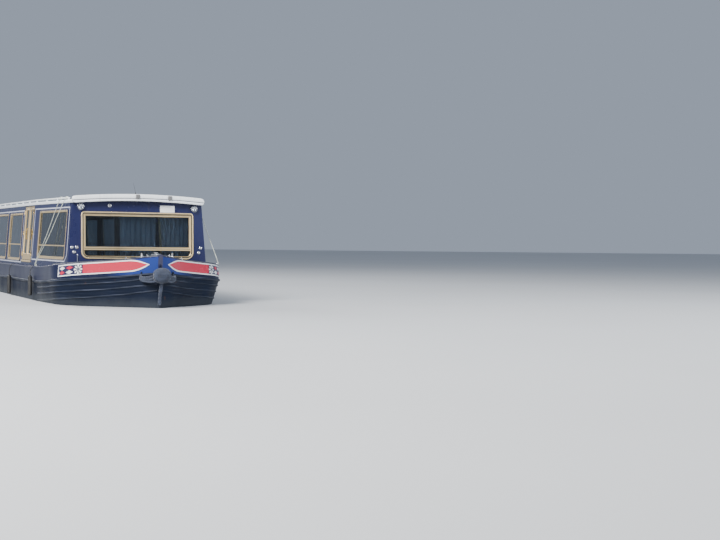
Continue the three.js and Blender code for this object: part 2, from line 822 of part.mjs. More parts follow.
// The height of the roof's top, which is flat between its steps.
function roofTop(x, y) {
  const half = roofHalf(x);
  const step = (2 * half) / ROOF_STEPS;
  const from = Math.floor(Math.abs(y) / step) * step;
  const rise = (at) => ROOF_CAMBER * (1 - (at / half) ** 2);
  return ROOF_TOP_Z + rise(from) + ((rise(from + step) - rise(from)) * (Math.abs(y) - from)) / step;
}

const ROOF_REAR_X = -6140;
const ROOF_FRONT_X = 6800;
const HATCH_X0 = -6130;
const HATCH_X1 = -5300;
const HATCH_HALF = 450;
const HATCH_WAY = 780;
// The visor's lower and upper height at its ends, its camber and its reach.
const VISOR_LOW = 2575;
const VISOR_HIGH = 2711;
const VISOR_CAMBER = 60;
const VISOR_OUT = 70;
const VISOR_STEPS = 12;
// Its rounded ends. Columns: inset from the end, share of the height that is left.
const VISOR_ENDS = [
  [0, 0.3],
  [12, 0.66],
  [40, 0.94],
  [72, 1],
];

function visor() {
  const half = roofHalf(ROOF_FRONT_X);
  const middle = (VISOR_LOW + VISOR_HIGH) / 2;
  const tall = (VISOR_HIGH - VISOR_LOW) / 2;
  const inner = half - VISOR_ENDS.at(-1)[0];
  const places = [
    ...VISOR_ENDS.map(([inset, share]) => [inset - half, share]),
    ...Array.from({ length: VISOR_STEPS - 1 }, (_, i) => [-inner + (2 * inner * (i + 1)) / VISOR_STEPS, 1]),
    ...[...VISOR_ENDS].reverse().map(([inset, share]) => [half - inset, share]),
  ];
  const sections = places.map(([y, share]) => {
    const z = middle + VISOR_CAMBER * (1 - (y / half) ** 2);
    const back = ROOF_FRONT_X - 0.5;
    const face = ROOF_FRONT_X + VISOR_OUT;
    return [
      [back, y, z - tall * share],
      [face, y, z - tall * share],
      [face, y, z + tall * share],
      [back, y, z + tall * share],
    ];
  });
  return loft(sections);
}

// The whip aerial on the visor. Columns: height, reach to starboard, radius.
const AERIAL_X = 6835;
const AERIAL = [
  [2770.9, 75, 13],
  [2789, 75, 13],
  [2790, 75, 4],
  [2985, 120, 3],
];

function aerial() {
  const sides = 12;
  return loft(
    AERIAL.map(([z, y, r]) =>
      Array.from({ length: sides }, (_, k) => {
        const turn = (2 * Math.PI * k) / sides;
        return [AERIAL_X + r * Math.cos(turn), -y + r * Math.sin(turn), z];
      }),
    ),
  );
}

function roof() {
  const shell = loft([ROOF_REAR_X, KNUCKLE_X, ROOF_FRONT_X].map((x) => roofSection(x, ROOF_EDGE_Z, ROOF_TOP_Z)));
  const cut = box(-6050, HATCH_X1 - 60, -380, 380, 2500, 2900);
  const runners = [-1, 1].map((side) => {
    const y = side * (HATCH_HALF - 25);
    const top = ROOF_TOP_Z + ROOF_CAMBER * (1 - ((HATCH_HALF - 25) / 1500) ** 2);
    return box(ROOF_REAR_X + 10, HATCH_X1 + HATCH_WAY, y - 15, y + 15, top - 30, top + 18);
  });
  return join(shell.subtract(cut), visor(), ...runners);
}

function slidingHatch() {
  const z = ROOF_TOP_Z + ROOF_CAMBER * (1 - ((HATCH_HALF - 25) / 1500) ** 2) + 18 + GAP;
  const lid = box(HATCH_X0, HATCH_X1, -HATCH_HALF, HATCH_HALF, z, z + 28);
  const lips = [-1, 1].map((side) => {
    const y = side * (HATCH_HALF - 5);
    return box(HATCH_X0 + 6, HATCH_X1 - 6, y - 3, y + 3, z - 10, z + 10);
  });
  return join(lid, ...lips);
}

function roofRail(side) {
  const r = 14;
  const z = ROOF_TOP_Z + 46;
  const y = (x) => side * (cabinHalf(x, ROOF_EDGE_Z) - 20);
  const line = [-5900, KNUCKLE_X, 6500].map((x) => [x, y(x), z]);
  const posts = [-5800, -3870, -1940, -10, 1920, 3850, 5000, 6400].map((x) => {
    const foot = roofTop(x, Math.abs(y(x)) - 9) + 2 * GAP;
    return rod([x, y(x), foot], [x, y(x), z], 9, 8);
  });
  return join(tube(line, r), ...posts);
}

function rearBulkhead() {
  const half = (z) => cabinHalf(CABIN_REAR_X, z);
  const outline = archOutline(half, GUNWALE_Z + GAP, ROOF_EDGE_Z, 2);
  const doorway = opening(-REAR_DOOR_HALF, REAR_DOOR_HALF, REAR_DOOR_Z0, REAR_DOOR_Z1, 3, 3);
  return stand(plate(outline, [doorway], CABIN_REAR_X - WALL - GAP, CABIN_REAR_X - GAP), ACROSS);
}

function rearDoor(side) {
  const back = CABIN_REAR_X - WALL;
  const y0 = side * 3.5;
  const y1 = side * (REAR_DOOR_HALF - DOOR_GAP);
  const leaf = box(
    back + HINGE_OUT,
    back + DOOR_THICK + HINGE_OUT,
    Math.min(y0, y1),
    Math.max(y0, y1),
    REAR_DOOR_Z0 + DOOR_GAP,
    REAR_DOOR_Z1 - DOOR_GAP,
  );
  const aftFace = new THREE.Matrix4().makeBasis(
    new THREE.Vector3(0, 1, 0),
    new THREE.Vector3(0, 0, 1),
    new THREE.Vector3(-1, 0, 0),
  );
  aftFace.setPosition(back - GAP, 0, 0);
  const hinges = [1500, 1935, 2370].flatMap((z) => hingeLeaf(side * REAR_DOOR_HALF, -side, z));
  return join(leaf, ...hinges.map((part) => stand(part, aftFace)));
}

const ENGINE_LID_X0 = -7300;
const ENGINE_LID_X1 = -6600;

function aftDeck() {
  const deck = loft(
    stations(STERN_X, -6080).map((x) => {
      const half = rimPoint(x)[1] - 12;
      return [
        [x, half, AFT_RIM_Z + GAP],
        [x, half, GUNWALE_Z],
        [x, -half, GUNWALE_Z],
        [x, -half, AFT_RIM_Z + GAP],
      ];
    }),
  );
  const hole = box(ENGINE_LID_X0 + 30, ENGINE_LID_X1 - 30, -370, 370, 1200, 1400);
  const stockHole = rod([STOCK_X, 0, 1200], [STOCK_X, 0, 1400], STOCK_HOLE_R, 24);
  return deck.subtract(hole).subtract(stockHole);
}

function engineLid() {
  const z = GUNWALE_Z + GAP;
  return box(ENGINE_LID_X0, ENGINE_LID_X1, -400, 400, z, z + 22);
}

function rudder() {
  const blade = box(STOCK_X - 500, STOCK_X + 180, -14, 14, 62, 492);
  const stock = rod([STOCK_X, 0, 52 + GAP], [STOCK_X, 0, 1600], STOCK_R, 16);
  const collar = rod([STOCK_X, 0, GUNWALE_Z + GAP], [STOCK_X, 0, GUNWALE_Z + 26], 62, 24);
  const neck = tube(
    [
      [STOCK_X, 0, 1560],
      [STOCK_X - 20, 0, 1760],
      [STOCK_X + 60, 0, 1960],
      [STOCK_X + 240, 0, 2110],
      [STOCK_X + 520, 0, 2180],
      [STOCK_X + 980, 0, 2210],
    ],
    26,
    12,
  );
  const grip = rod([STOCK_X + 900, 0, 2207], [STOCK_X + 1180, 0, 2222], 20, 12);
  return join(blade, stock, collar, neck, grip);
}

function propeller() {
  const hub = rod([PROP_X - 55, 0, SHAFT_Z], [PROP_X + 55, 0, SHAFT_Z], 42, 16);
  const shaft = rod([PROP_X + 50, 0, SHAFT_Z], [-6720, 0, SHAFT_Z], SHAFT_R, 16);
  const blades = [0, 1, 2].map((k) => {
    const blade = new THREE.CylinderGeometry(80, 80, 12, 20);
    blade.rotateZ(Math.PI / 2);
    blade.scale(1, 1.15, 1);
    blade.translate(0, PROP_R - 94, 0);
    blade.applyQuaternion(new THREE.Quaternion().setFromAxisAngle(new THREE.Vector3(0, 1, 0), 0.55));
    blade.rotateX((k * 2 * Math.PI) / 3);
    blade.translate(PROP_X, 0, SHAFT_Z);
    return toSolid(blade);
  });
  return join(hub, shaft, ...blades);
}

function engine() {
  return join(box(-6640, -6080, -250, 250, 330, 950), box(-6700, -6200, -120, 120, 130 + GAP, 500));
}

function sternRail() {
  const z = GUNWALE_Z + 780;
  const line = [-7000, -7500, -7980, -8260, -8370];
  const half = (x) => rimPoint(x)[1] - 70;
  const port = line.map((x) => [x, half(x), z]);
  const all = [...port, ...port.slice().reverse().map(([x, y]) => [x, -y, z])];
  const posts = [];
  for (const side of [-1, 1]) {
    for (const x of [-7010, -7540, -8020, -8330]) {
      posts.push(rod([x, side * half(x), GUNWALE_Z + GAP], [x, side * half(x), z], 16, 10));
    }
  }
  return join(tube(all, 20), ...posts);
}

function bench(side) {
  const outline = [[950, 290.3], [1000, 290.3], [1000, 640], [1390, 640], [1390, 1150], [1340, 1150], [1340, 700], [950, 700]];
  const flipped = outline.map(([y, z]) => [side * y, z]);
  return stand(plate(flipped, [], -5250, 2400), ACROSS);
}

// A gathered curtain between two places in plan, hung from the height of its rod.
const ROD_Z = 2440;
const ROD_R = 9;
const FOLD_DEEP = 24;
const CLOTH = 8;
const HEADER = 14;

function curtain(from, to, folds, lowZ) {
  const a = new THREE.Vector2(...from);
  const b = new THREE.Vector2(...to);
  const along = b.clone().sub(a).normalize();
  const across = new THREE.Vector2(-along.y, along.x);
  const count = 2 * folds;
  const edge = (shift) =>
    Array.from({ length: count + 1 }, (_, i) => {
      const wave = i % 2 ? FOLD_DEEP : -FOLD_DEEP;
      const p = a.clone().lerp(b, i / count).addScaledVector(across, wave + shift);
      return [p.x, p.y];
    });
  const half = FOLD_DEEP + CLOTH + 1;
  const header = [[a, -half], [b, -half], [b, half], [a, half]].map(([end, shift]) => {
    const p = end.clone().addScaledVector(across, shift);
    return [p.x, p.y];
  });
  const folded = plate([...edge(-CLOTH), ...edge(CLOTH).reverse()], [], lowZ, ROD_Z);
  return join(folded, plate(header, [], ROD_Z - HEADER, ROD_Z + HEADER));
}

// Half width between the inner faces of the cabin sides at the upper edge of a rod's stub.
const STUB_R = 7;

function innerHalf(x) {
  const slope = x > KNUCKLE_X ? FORE_SLOPE : 0;
  const face = cabinHalf(x, ROD_Z + STUB_R) - WALL * Math.hypot(1, LEAN, slope);
  return face + slope * STUB_R - GAP;
}

const ROD_IN = 48;

// A rod along the wall with stubs to the wall, and a curtain at the aft end of each window.
function curtainRun(side, windows, x0, x1, stubs) {
  const y = (x) => side * (innerHalf(x) - ROD_IN);
  const parts = [rod([x0, y(x0), ROD_Z], [x1, y(x1), ROD_Z], ROD_R, 12)];
  for (const x of stubs) {
    parts.push(rod([x, y(x), ROD_Z], [x, side * innerHalf(x), ROD_Z], STUB_R, 8));
  }
  for (const [first, , foot] of windows) {
    parts.push(curtain([first - 40, y(first - 40)], [first + 330, y(first + 330)], 5, foot - 60));
  }
  return join(...parts);
}

function foreCurtain(side) {
  return curtainRun(side, [FORE_WINDOW], 4340, 6560, [4360, 5450, 6540]);
}

function aftCurtains(side) {
  return curtainRun(side, AFT_WINDOWS, -4920, 2640, [-4900, -3070, -1130, 800, 2620]);
}

// The curtain behind the front window, drawn over its port two thirds.
function frontCurtain() {
  const x = frontX(ROD_Z) - WALL * Math.hypot(1, RAKE) - 58;
  const wall = x + 57;
  const stubs = [-1060, 0, 1060].map((y) => rod([x, y, ROD_Z], [wall, y, ROD_Z], STUB_R, 8));
  const rail = rod([x, -1080, ROD_Z], [x, 1080, ROD_Z], ROD_R, 12);
  return join(rail, ...stubs, curtain([x, -330], [x, 1060], 15, FRONT_WINDOW[2] - 70));
}

const FENDER_R = 45;

// A side fender on each side fore and aft. Columns: x, z of the foot.
const FORE_FENDER = [4800, 700];
const AFT_FENDER = [2200, 640];
const FENDER_TALL = 415;

function sideFender(side, [x, foot]) {
  const y = side * (HALF_BEAM + 24 + FENDER_R + 2);
  const deckZ = rimPoint(x + 10)[2];
  const over = deckZ + 6.9;
  const rope = tube(
    [
      [x, side * (HALF_BEAM - 60), over],
      [x, side * (HALF_BEAM + 12), over],
      [x, y, foot + FENDER_TALL + 90],
      [x, y, foot + FENDER_TALL - 20],
    ],
    7,
  );
  const body = rod([x, y, foot], [x, y, foot + FENDER_TALL], FENDER_R, 14);
  return join(body, rope);
}

function build() {
  hull();
  add("stem_post", stemBar(GAP, STEM_HALF, 0), "black");
  add("foredeck", foredeck(), "deck");
  add("foredeck_locker_lid", lockerLid(), "deck");
  add("bow_stud", bowStud(), "steel");
  add("bow_fender", bowFender(), "rope");
  add("stern_fender", sternFender(), "rope");
  cabin();
  front();
  add("rear_bulkhead", rearBulkhead(), "navy");
  add("rear_door_starboard", rearDoor(-1), "wood");
  add("rear_door_port", rearDoor(1), "wood");
  add("roof", roof(), "white");
  add("aerial", aerial(), "steel");
  add("sliding_hatch", slidingHatch(), "navy");
  add("roof_rail_starboard", roofRail(-1), "white");
  add("roof_rail_port", roofRail(1), "white");
  add("cabin_floor", box(-5300, 5400, -1005, 1005, FLOOR_Z + GAP, FLOOR_Z + 40), "floor");
  add("bench_starboard", bench(-1), "wood");
  add("bench_port", bench(1), "wood");
  add("aft_deck", aftDeck(), "deck");
  add("engine_hatch_lid", engineLid(), "deck");
  add("rudder", rudder(), "black");
  add("propeller", propeller(), "bronze");
  add("engine", engine(), "engine");
  add("curtain_front", frontCurtain(), "cloth");
  add("stern_rail", sternRail(), "steel");
  for (const [name, side] of SIDES) {
    add("stern_dolly_" + name, sternDolly(side), "steel");
    add("curtain_fore_" + name, foreCurtain(side), "brown");
    add("curtains_aft_" + name, aftCurtains(side), "brown");
    add("side_fender_fore_" + name, sideFender(side, FORE_FENDER), "rubber");
    add("side_fender_aft_" + name, sideFender(side, AFT_FENDER), "rubber");
  }
}

build();

export default boat;
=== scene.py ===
"""Dresses a broad-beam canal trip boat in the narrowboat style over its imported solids.

All sizes are metres. +X is forward, +Y is port and +Z is up. The water lies 0.6 up, and the
floor of the picture lies there too.
"""

import logging
from dataclasses import dataclass, field
from enum import Enum
from math import cos, pi, radians, sin, sqrt
from typing import Callable, Sequence

import bmesh
import bpy
from mathutils import Matrix, Vector
from mathutils.geometry import tessellate_polygon


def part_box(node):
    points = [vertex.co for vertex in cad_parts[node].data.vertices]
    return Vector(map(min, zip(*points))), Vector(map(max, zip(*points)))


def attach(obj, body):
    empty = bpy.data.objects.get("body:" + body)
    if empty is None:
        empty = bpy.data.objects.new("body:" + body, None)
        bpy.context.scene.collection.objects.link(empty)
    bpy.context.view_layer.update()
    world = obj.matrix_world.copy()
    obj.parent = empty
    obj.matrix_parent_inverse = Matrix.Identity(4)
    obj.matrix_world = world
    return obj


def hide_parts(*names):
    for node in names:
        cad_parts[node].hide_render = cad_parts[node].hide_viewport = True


LOG = logging.getLogger("boat")
WATERLINE = 0.6
UP = Vector((0, 0, 1))
Spot = tuple[float, float, float]
RGB = Spot
Flat = tuple[float, float]
Profile = tuple[Flat, ...]
Places = tuple[Spot, ...]
Point = Sequence[float]
Line = list[Vector]
Socket = bpy.types.NodeSocket


class Side(Enum):
    """The two sides of the boat, by the sign of Y."""

    STARBOARD = -1
    PORT = 1

    @property
    def word(self) -> str:
        """The side's name as the nodes use it."""
        return self.name.lower()

    def at(self, x: float, y: float, z: float) -> Vector:
        """A point, or a direction, of the port side on this side."""
        return Vector((x, y * self.value, z))


# Finishes


class Shader:
    """A material's node tree, with short calls for the nodes that the finishes share."""

    def __init__(self, name: str) -> None:
        """Makes the material of the given name."""
        self.material = bpy.data.materials.new(name)
        self.material.use_nodes = True
        self.tree = self.material.node_tree
        self.surface = self.tree.nodes["Principled BSDF"]
        self.coordinates = self.tree.nodes.new("ShaderNodeTexCoord")
        self.place = self.coordinates.outputs["Object"]

    def node(self, kind: str, inputs: dict | None = None, **settings: object) -> bpy.types.Node:
        """Adds a node.

        Args:
            kind: The node's type.
            inputs: Values or sockets by input name or number.
            **settings: The node's own properties.

        Returns:
            The node.
        """
        made = self.tree.nodes.new(kind)
        for key, value in settings.items():
            setattr(made, key, value)
        for key, value in (inputs or {}).items():
            self.plug(made.inputs[key], value)
        return made

    def plug(self, socket: Socket, value: object) -> None:
        """Links a socket to a socket, or gives it a value."""
        if isinstance(value, Socket):
            self.tree.links.new(value, socket)
        elif isinstance(value, tuple) and len(value) == 3 and socket.type == "RGBA":
            socket.default_value = (*value, 1.0)
        else:
            socket.default_value = value

    def set(self, **values: object) -> None:
        """Gives sockets of the surface, named with _ for a space, their values."""
        for key, value in values.items():
            self.plug(self.surface.inputs[key.replace("_", " ")], value)

    def noise(self, scale: float, detail: float = 3.0, stretch: Point | None = None) -> Socket:
        """Noise.

        Args:
            scale: Cells for each metre.
            detail: Octaves.
            stretch: Factors for X, Y and Z.

        Returns:
            The noise as a value from 0 to 1.
        """
        place = self.place
        if stretch:
            place = self.node("ShaderNodeMapping", {"Vector": place, "Scale": stretch}).outputs[0]
        values = {"Vector": place, "Scale": scale, "Detail": detail}
        return self.node("ShaderNodeTexNoise", values).outputs["Fac"]

    def fit(
        self, value: object, low: float, high: float, to_low: float = 0.0, to_high: float = 1.0
    ) -> Socket:
        """Maps a value from one range to another, and keeps it there."""
        values = {"Value": value, "From Min": low, "From Max": high, "To Min": to_low, "To Max": to_high}
        return self.node("ShaderNodeMapRange", values).outputs["Result"]

    def math(self, what: str, a: object, b: object = 0.0) -> Socket:
        """One operation on two values, such as ADD or MULTIPLY."""
        return self.node("ShaderNodeMath", {0: a, 1: b}, operation=what).outputs[0]

    def mix(self, share: object, a: object, b: object) -> Socket:
        """A colour between two colours."""
        made = self.node("ShaderNodeMix", data_type="RGBA")
        self.plug(made.inputs[0], share)
        self.plug(made.inputs[6], a)
        self.plug(made.inputs[7], b)
        return made.outputs[2]

    def over(
        self, color: object, other: object, mask: object, low: float, high: float, most: float = 1.0
    ) -> Socket:
        """A colour with another over it, by up to most, where a mask rises from low to high."""
        return self.mix(self.fit(mask, low, high, 0.0, most), color, other)

    def axis(self, letter: str) -> Socket:
        """One of the object coordinates, in metres."""
        return self.node("ShaderNodeSeparateXYZ", {0: self.place}).outputs[letter]

    def bump(self, height: object, strength: float, distance: float) -> None:
        """Adds relief to what the surface has.

        Args:
            height: The relief as a value.
            strength: How much of it shows.
            distance: Its depth in metres.
        """
        socket = self.surface.inputs["Normal"]
        under = socket.links[0].from_socket if socket.links else None
        made = self.node("ShaderNodeBump", {"Height": height, "Strength": strength, "Distance": distance})
        if under:
            self.plug(made.inputs["Normal"], under)
        self.plug(socket, made.outputs[0])


@dataclass(frozen=True)
class Finish:
    """A surface finish, with its colour as linear red, green and blue."""

    name: str
    slot: str
    color: RGB
    roughness: float = 0.5

    def dress(self, s: Shader) -> None:
        """Builds the nodes. Each kind of finish has its own."""
        s.set(Base_Color=self.color, Roughness=self.roughness)

    def rough(self, s: Shader, mask: object, low: float, high: float, more: float) -> None:
        """Makes the surface rougher by up to more where a mask rises from low to high."""
        s.set(Roughness=s.fit(mask, low, high, self.roughness, self.roughness + more))

    def shade(self, factor: float) -> RGB:
        """The finish's colour, made lighter or darker."""
        return tuple(min(1.0, c * factor) for c in self.color)

    def material(self) -> bpy.types.Material:
        """The finish's material, made once."""
        found = bpy.data.materials.get(self.name)
        if found:
            return found
        shader = Shader(self.name)
        self.dress(shader)
        return shader.material


@dataclass(frozen=True)
class CoachPaint(Finish):
    """Brushed gloss paint with a faded bloom, runs of dirt and brush marks."""

    faded: RGB = (0.05, 0.07, 0.2)
    dirt: RGB = (0.09, 0.08, 0.06)
    grime: float = 0.25
    coat: float = 0.6

    def dress(self, s: Shader) -> None:
        """Builds the nodes."""
        bloom = s.noise(0.9, 4)
        runs = s.noise(3.0, 6, (7, 7, 0.5))
        color = s.over(self.color, self.faded, bloom, 0.4, 0.75, 0.5)
        color = s.over(color, self.dirt, runs, 0.55, 0.85, self.grime)
        color = s.over(color, self.dirt, s.noise(55, 2), 0.72, 0.78, self.grime)
        s.set(Base_Color=color, Coat_Weight=self.coat, Coat_Roughness=0.08)
        self.rough(s, bloom, 0.3, 0.75, 0.14)
        s.bump(s.noise(160, 2, (0.25, 0.25, 1)), 0.06, 0.001)
        s.bump(s.noise(1.6, 2), 0.12, 0.006)


@dataclass(frozen=True)
class BowPaint(CoachPaint):
    """Gloss paint that turns to a lighter blue towards the stem; the lighter blue is a painted sky
    reflection on the bow plates that face up.
    """

    # light: the lighter blue of the painted sky reflection near the stem.
    light: RGB = (0.016, 0.038, 0.2)
    start: float = 7.75
    end: float = 8.1

    def dress(self, s: Shader) -> None:
        """Builds the nodes over the plain gloss paint, with the painted sky reflection towards the stem."""
        super().dress(s)
        s.set(Specular_IOR_Level=0.22)
        color = s.surface.inputs["Base Color"].links[0].from_socket
        # Painted reflection: blends to the lighter blue from start to end along X, with a ragged edge.
        edge = s.math("ADD", s.axis("X"), s.fit(s.noise(5, 3), 0, 1, -0.06, 0.06))
        s.set(Base_Color=s.over(color, self.light, edge, self.start, self.end))


@dataclass(frozen=True)
class Blacking(Finish):
    """Bitumen paint with scrapes, dull patches, rust specks and a line of silt at the water. Its colours
    carry a blue tint that is a painted sky reflection, and where the scrape colour is light, as on the
    strakes, the scrapes are partly painted highlights.
    """

    # The default colours are tinted blue: a painted sky reflection.
    scraped: RGB = (0.04, 0.048, 0.068)
    dulled: RGB = (0.005, 0.011, 0.03)
    rust: RGB = (0.055, 0.027, 0.018)
    silt: RGB = (0.05, 0.058, 0.066)
    worn: float = 0.4

    def dress(self, s: Shader) -> None:
        """Builds the nodes."""
        dull = s.noise(2.2, 6)
        color = s.over(self.color, self.dulled, dull, 0.42, 0.7, 0.6)
        # Scrapes: wear, and on the strakes also painted highlights where the scrape colour is light.
        scrape_and_highlight = s.noise(4.0, 8, (0.35, 0.35, 16))
        color = s.over(color, self.scraped, scrape_and_highlight, 0.66 - self.worn * 0.25, 0.74, self.worn)
        rust = s.math("MULTIPLY", s.fit(s.noise(9, 8), 0.66, 0.71), s.fit(s.noise(1.4, 2), 0.45, 0.6))
        color = s.mix(s.math("MULTIPLY", rust, 0.8), color, self.rust)
        ragged = s.math("ADD", s.axis("Z"), s.fit(s.noise(6, 5, (1, 1, 0.3)), 0, 1, -0.07, 0.07))
        silt = s.math("MULTIPLY", s.fit(ragged, 0.56, 0.62), s.fit(ragged, 0.8, 0.66))
        color = s.mix(s.math("MULTIPLY", silt, 0.45), color, self.silt)
        s.set(Base_Color=color, Specular_IOR_Level=0.2)
        self.rough(s, dull, 0.3, 0.7, 0.3)
        s.bump(s.noise(38, 5), 0.18, 0.002)
        s.bump(scrape_and_highlight, 0.12, 0.002)


@dataclass(frozen=True)
class Metal(Finish):
    """Metal with brushing along one direction, dull patches and tarnish."""

    tarnish: RGB = (0.2, 0.15, 0.08)
    worn: float = 0.35

    def dress(self, s: Shader) -> None:
        """Builds the nodes."""
        patches = s.noise(7, 5)
        s.set(Base_Color=s.over(self.color, self.tarnish, patches, 0.42, 0.78, self.worn), Metallic=0.95)
        self.rough(s, patches, 0.3, 0.75, 0.22)
        s.bump(s.noise(300, 2, (0.15, 1, 1)), 0.05, 0.0006)


@dataclass(frozen=True)
class Glass(Finish):
    """Window glass with a slight tint, dried rain and dust."""

    def dress(self, s: Shader) -> None:
        """Builds the nodes."""
        film = s.noise(3, 6, (1, 1, 0.35))
        s.set(Base_Color=self.color, Transmission_Weight=s.fit(film, 0.45, 0.9, 1.0, 0.97), IOR=1.45)
        self.rough(s, film, 0.5, 0.85, 0.05)
        s.bump(s.noise(1.1, 1), 0.1, 0.004)


class Grain(Enum):
    """The direction of the grain, as how far each axis is stretched."""

    ALONG = (0.06, 1.0, 1.0)
    UP = (1.0, 1.0, 0.06)


@dataclass(frozen=True)
class Timber(Finish):
    """Varnished wood with grain, darker rings and pores."""

    dark: RGB = (0.1, 0.035, 0.014)
    grain: Grain = Grain.ALONG

    def dress(self, s: Shader) -> None:
        """Builds the nodes."""
        rings = s.noise(22, 6, self.grain.value)
        pores = s.noise(420, 2, self.grain.value)
        color = s.over(self.color, self.dark, rings, 0.38, 0.66)
        color = s.over(color, self.dark, pores, 0.55, 0.75, 0.5)
        s.set(Base_Color=color, Coat_Weight=0.45, Coat_Roughness=0.15)
        self.rough(s, rings, 0.3, 0.7, 0.15)
        s.bump(pores, 0.15, 0.0006)


@dataclass(frozen=True)
class Fibre(Finish):
    """Rope or cord: hairy fibre with dirt in it."""

    dirt: RGB = (0.05, 0.045, 0.035)

    def dress(self, s: Shader) -> None:
        """Builds the nodes."""
        hair = s.noise(700, 3)
        color = s.over(self.color, self.dirt, s.noise(9, 5), 0.35, 0.7)
        color = s.over(color, self.shade(1.7), hair, 0.5, 0.8, 0.35)
        s.set(Base_Color=color, Roughness=self.roughness, Sheen_Weight=0.25, Sheen_Roughness=0.5)
        s.bump(hair, 0.5, 0.0012)


@dataclass(frozen=True)
class Cloth(Finish):
    """Curtain cloth with a plain weave, drawn in the cloth's own UV in metres."""

    threads: float = 900.0
    faded: RGB = (0.3, 0.33, 0.4)

    def dress(self, s: Shader) -> None:
        """Builds the nodes."""
        uv = s.coordinates.outputs["UV"]
        yarn = {"Vector": uv, "Scale": self.threads / 20}
        warp, weft = (s.node("ShaderNodeTexWave", yarn, bands_direction=way) for way in "XY")
        weave = s.math("MULTIPLY", warp.outputs["Fac"], weft.outputs["Fac"])
        slubs = s.node("ShaderNodeTexNoise", {"Vector": uv, "Scale": 24.0, "Detail": 5.0}).outputs["Fac"]
        color = s.over(self.color, self.faded, slubs, 0.35, 0.75)
        color = s.over(color, self.shade(0.55), weave, 0.0, 1.0, 0.3)
        s.set(Base_Color=color, Roughness=self.roughness, Sheen_Weight=0.35, Sheen_Roughness=0.4)
        s.bump(weave, 0.35, 0.0007)


@dataclass(frozen=True)
class Rubber(Finish):
    """Rubber or plastic with scuffs and a chalky bloom."""

    chalk: RGB = (0.2, 0.2, 0.2)

    def dress(self, s: Shader) -> None:
        """Builds the nodes."""
        bloom = s.noise(6, 6)
        color = s.over(self.color, self.chalk, bloom, 0.4, 0.75, 0.7)
        s.set(Base_Color=s.over(color, self.shade(0.4), s.noise(30, 6, (1, 1, 0.2)), 0.64, 0.72, 0.6))
        self.rough(s, bloom, 0.3, 0.7, 0.2)
        s.bump(s.noise(150, 3), 0.12, 0.0008)


@dataclass(frozen=True)
class DeckPaint(Finish):
    """Paint with grit in it, worn pale where feet go."""

    worn: RGB = (0.16, 0.16, 0.165)

    def dress(self, s: Shader) -> None:
        """Builds the nodes."""
        tread = s.noise(2.4, 5)
        grit = s.noise(520, 2)
        color = s.over(self.color, self.worn, tread, 0.45, 0.72, 0.8)
        s.set(Base_Color=s.over(color, self.worn, grit, 0.6, 0.8, 0.5))
        self.rough(s, tread, 0.3, 0.7, -0.15)
        s.bump(grit, 0.6, 0.0012)
        s.bump(s.noise(12, 4), 0.15, 0.002)


@dataclass(frozen=True)
class Ground(Finish):
    """The plain pale floor of the picture."""

    def dress(self, s: Shader) -> None:
        """Builds the nodes."""
        color = s.over(self.color, self.shade(0.96), s.noise(0.15, 3), 0.35, 0.65)
        s.set(Base_Color=color, Roughness=self.roughness)


NAVY = CoachPaint(
    "navy_coach_paint", "navy_paint", (0.008, 0.01, 0.05), 0.22,
    faded=(0.017, 0.021, 0.08), grime=0.12, coat=0.1,
)
# Navy gloss on the topside band; towards the stem it turns to a painted sky reflection.
BOW_BLUE = BowPaint(
    "bow_blue_paint", "navy_paint", (0.003, 0.006, 0.028), 0.34,
    faded=(0.006, 0.011, 0.046), grime=0.15, coat=0.0,
)
# Hull blacking: the blue in its colour is a painted sky reflection.
BLACKING = Blacking("hull_blacking", "black_steel", (0.0012, 0.0048, 0.0165), 0.5)
# Strake blacking: a lighter base and strong pale scrapes, partly wear and partly painted highlights on the
# bars' edges; its blue is a painted sky reflection.
STRAKE = Blacking(
    "strake_blacking", "black_steel", (0.009, 0.013, 0.024), 0.38,
    scraped=(0.085, 0.1, 0.15), worn=0.75,
)
WHITE = CoachPaint(
    "roof_white_paint", "white_paint", (0.86, 0.89, 0.91), 0.3,
    faded=(0.7, 0.73, 0.74), dirt=(0.2, 0.19, 0.13), grime=0.3, coat=0.3,
)
LINE_WHITE = CoachPaint(
    "coach_line_paint", "white_paint", (0.62, 0.63, 0.74), 0.3,
    faded=(0.5, 0.52, 0.6), dirt=(0.2, 0.2, 0.2), grime=0.2, coat=0.4,
)
BOARD_WHITE = CoachPaint(
    "board_white_paint", "white_paint", (0.8, 0.8, 0.8), 0.25,
    faded=(0.7, 0.7, 0.7), grime=0.1,
)
BOARD_RED = CoachPaint(
    "board_red_paint", "navy_paint", (0.5, 0.014, 0.045), 0.22,
    faded=(0.55, 0.03, 0.075), grime=0.1, coat=0.1,
)
BOARD_NAVY = CoachPaint(
    "board_navy_paint", "navy_paint", (0.012, 0.012, 0.05), 0.25,
    faded=(0.03, 0.03, 0.08), grime=0.1,
)
GOLD = Metal(
    "gold_anodised_frame", "brass", (0.78, 0.6, 0.34), 0.34,
    tarnish=(0.56, 0.44, 0.26), worn=0.4,
)
BRASS = Metal("polished_brass", "brass", (0.7, 0.5, 0.18), 0.16, tarnish=(0.35, 0.22, 0.07), worn=0.5)
CHROME = Metal(
    "polished_steel", "bright_steel", (0.72, 0.73, 0.75), 0.12,
    tarnish=(0.4, 0.38, 0.35), worn=0.4,
)
BRONZE = Metal("cast_bronze", "bronze", (0.45, 0.26, 0.09), 0.3, tarnish=(0.12, 0.16, 0.1), worn=0.7)
GLASS = Glass("dusty_window_glass", "window_glass", (0.31, 0.365, 0.41), 0.0)
LENS = Glass("lamp_glass", "window_glass", (0.95, 0.97, 1.0), 0.03)
OAK = Timber("varnished_oak", "varnished_wood", (0.36, 0.17, 0.06), 0.28)
DOOR_WOOD = Timber("door_wood", "varnished_wood", (0.27, 0.1, 0.035), 0.26, grain=Grain.UP)
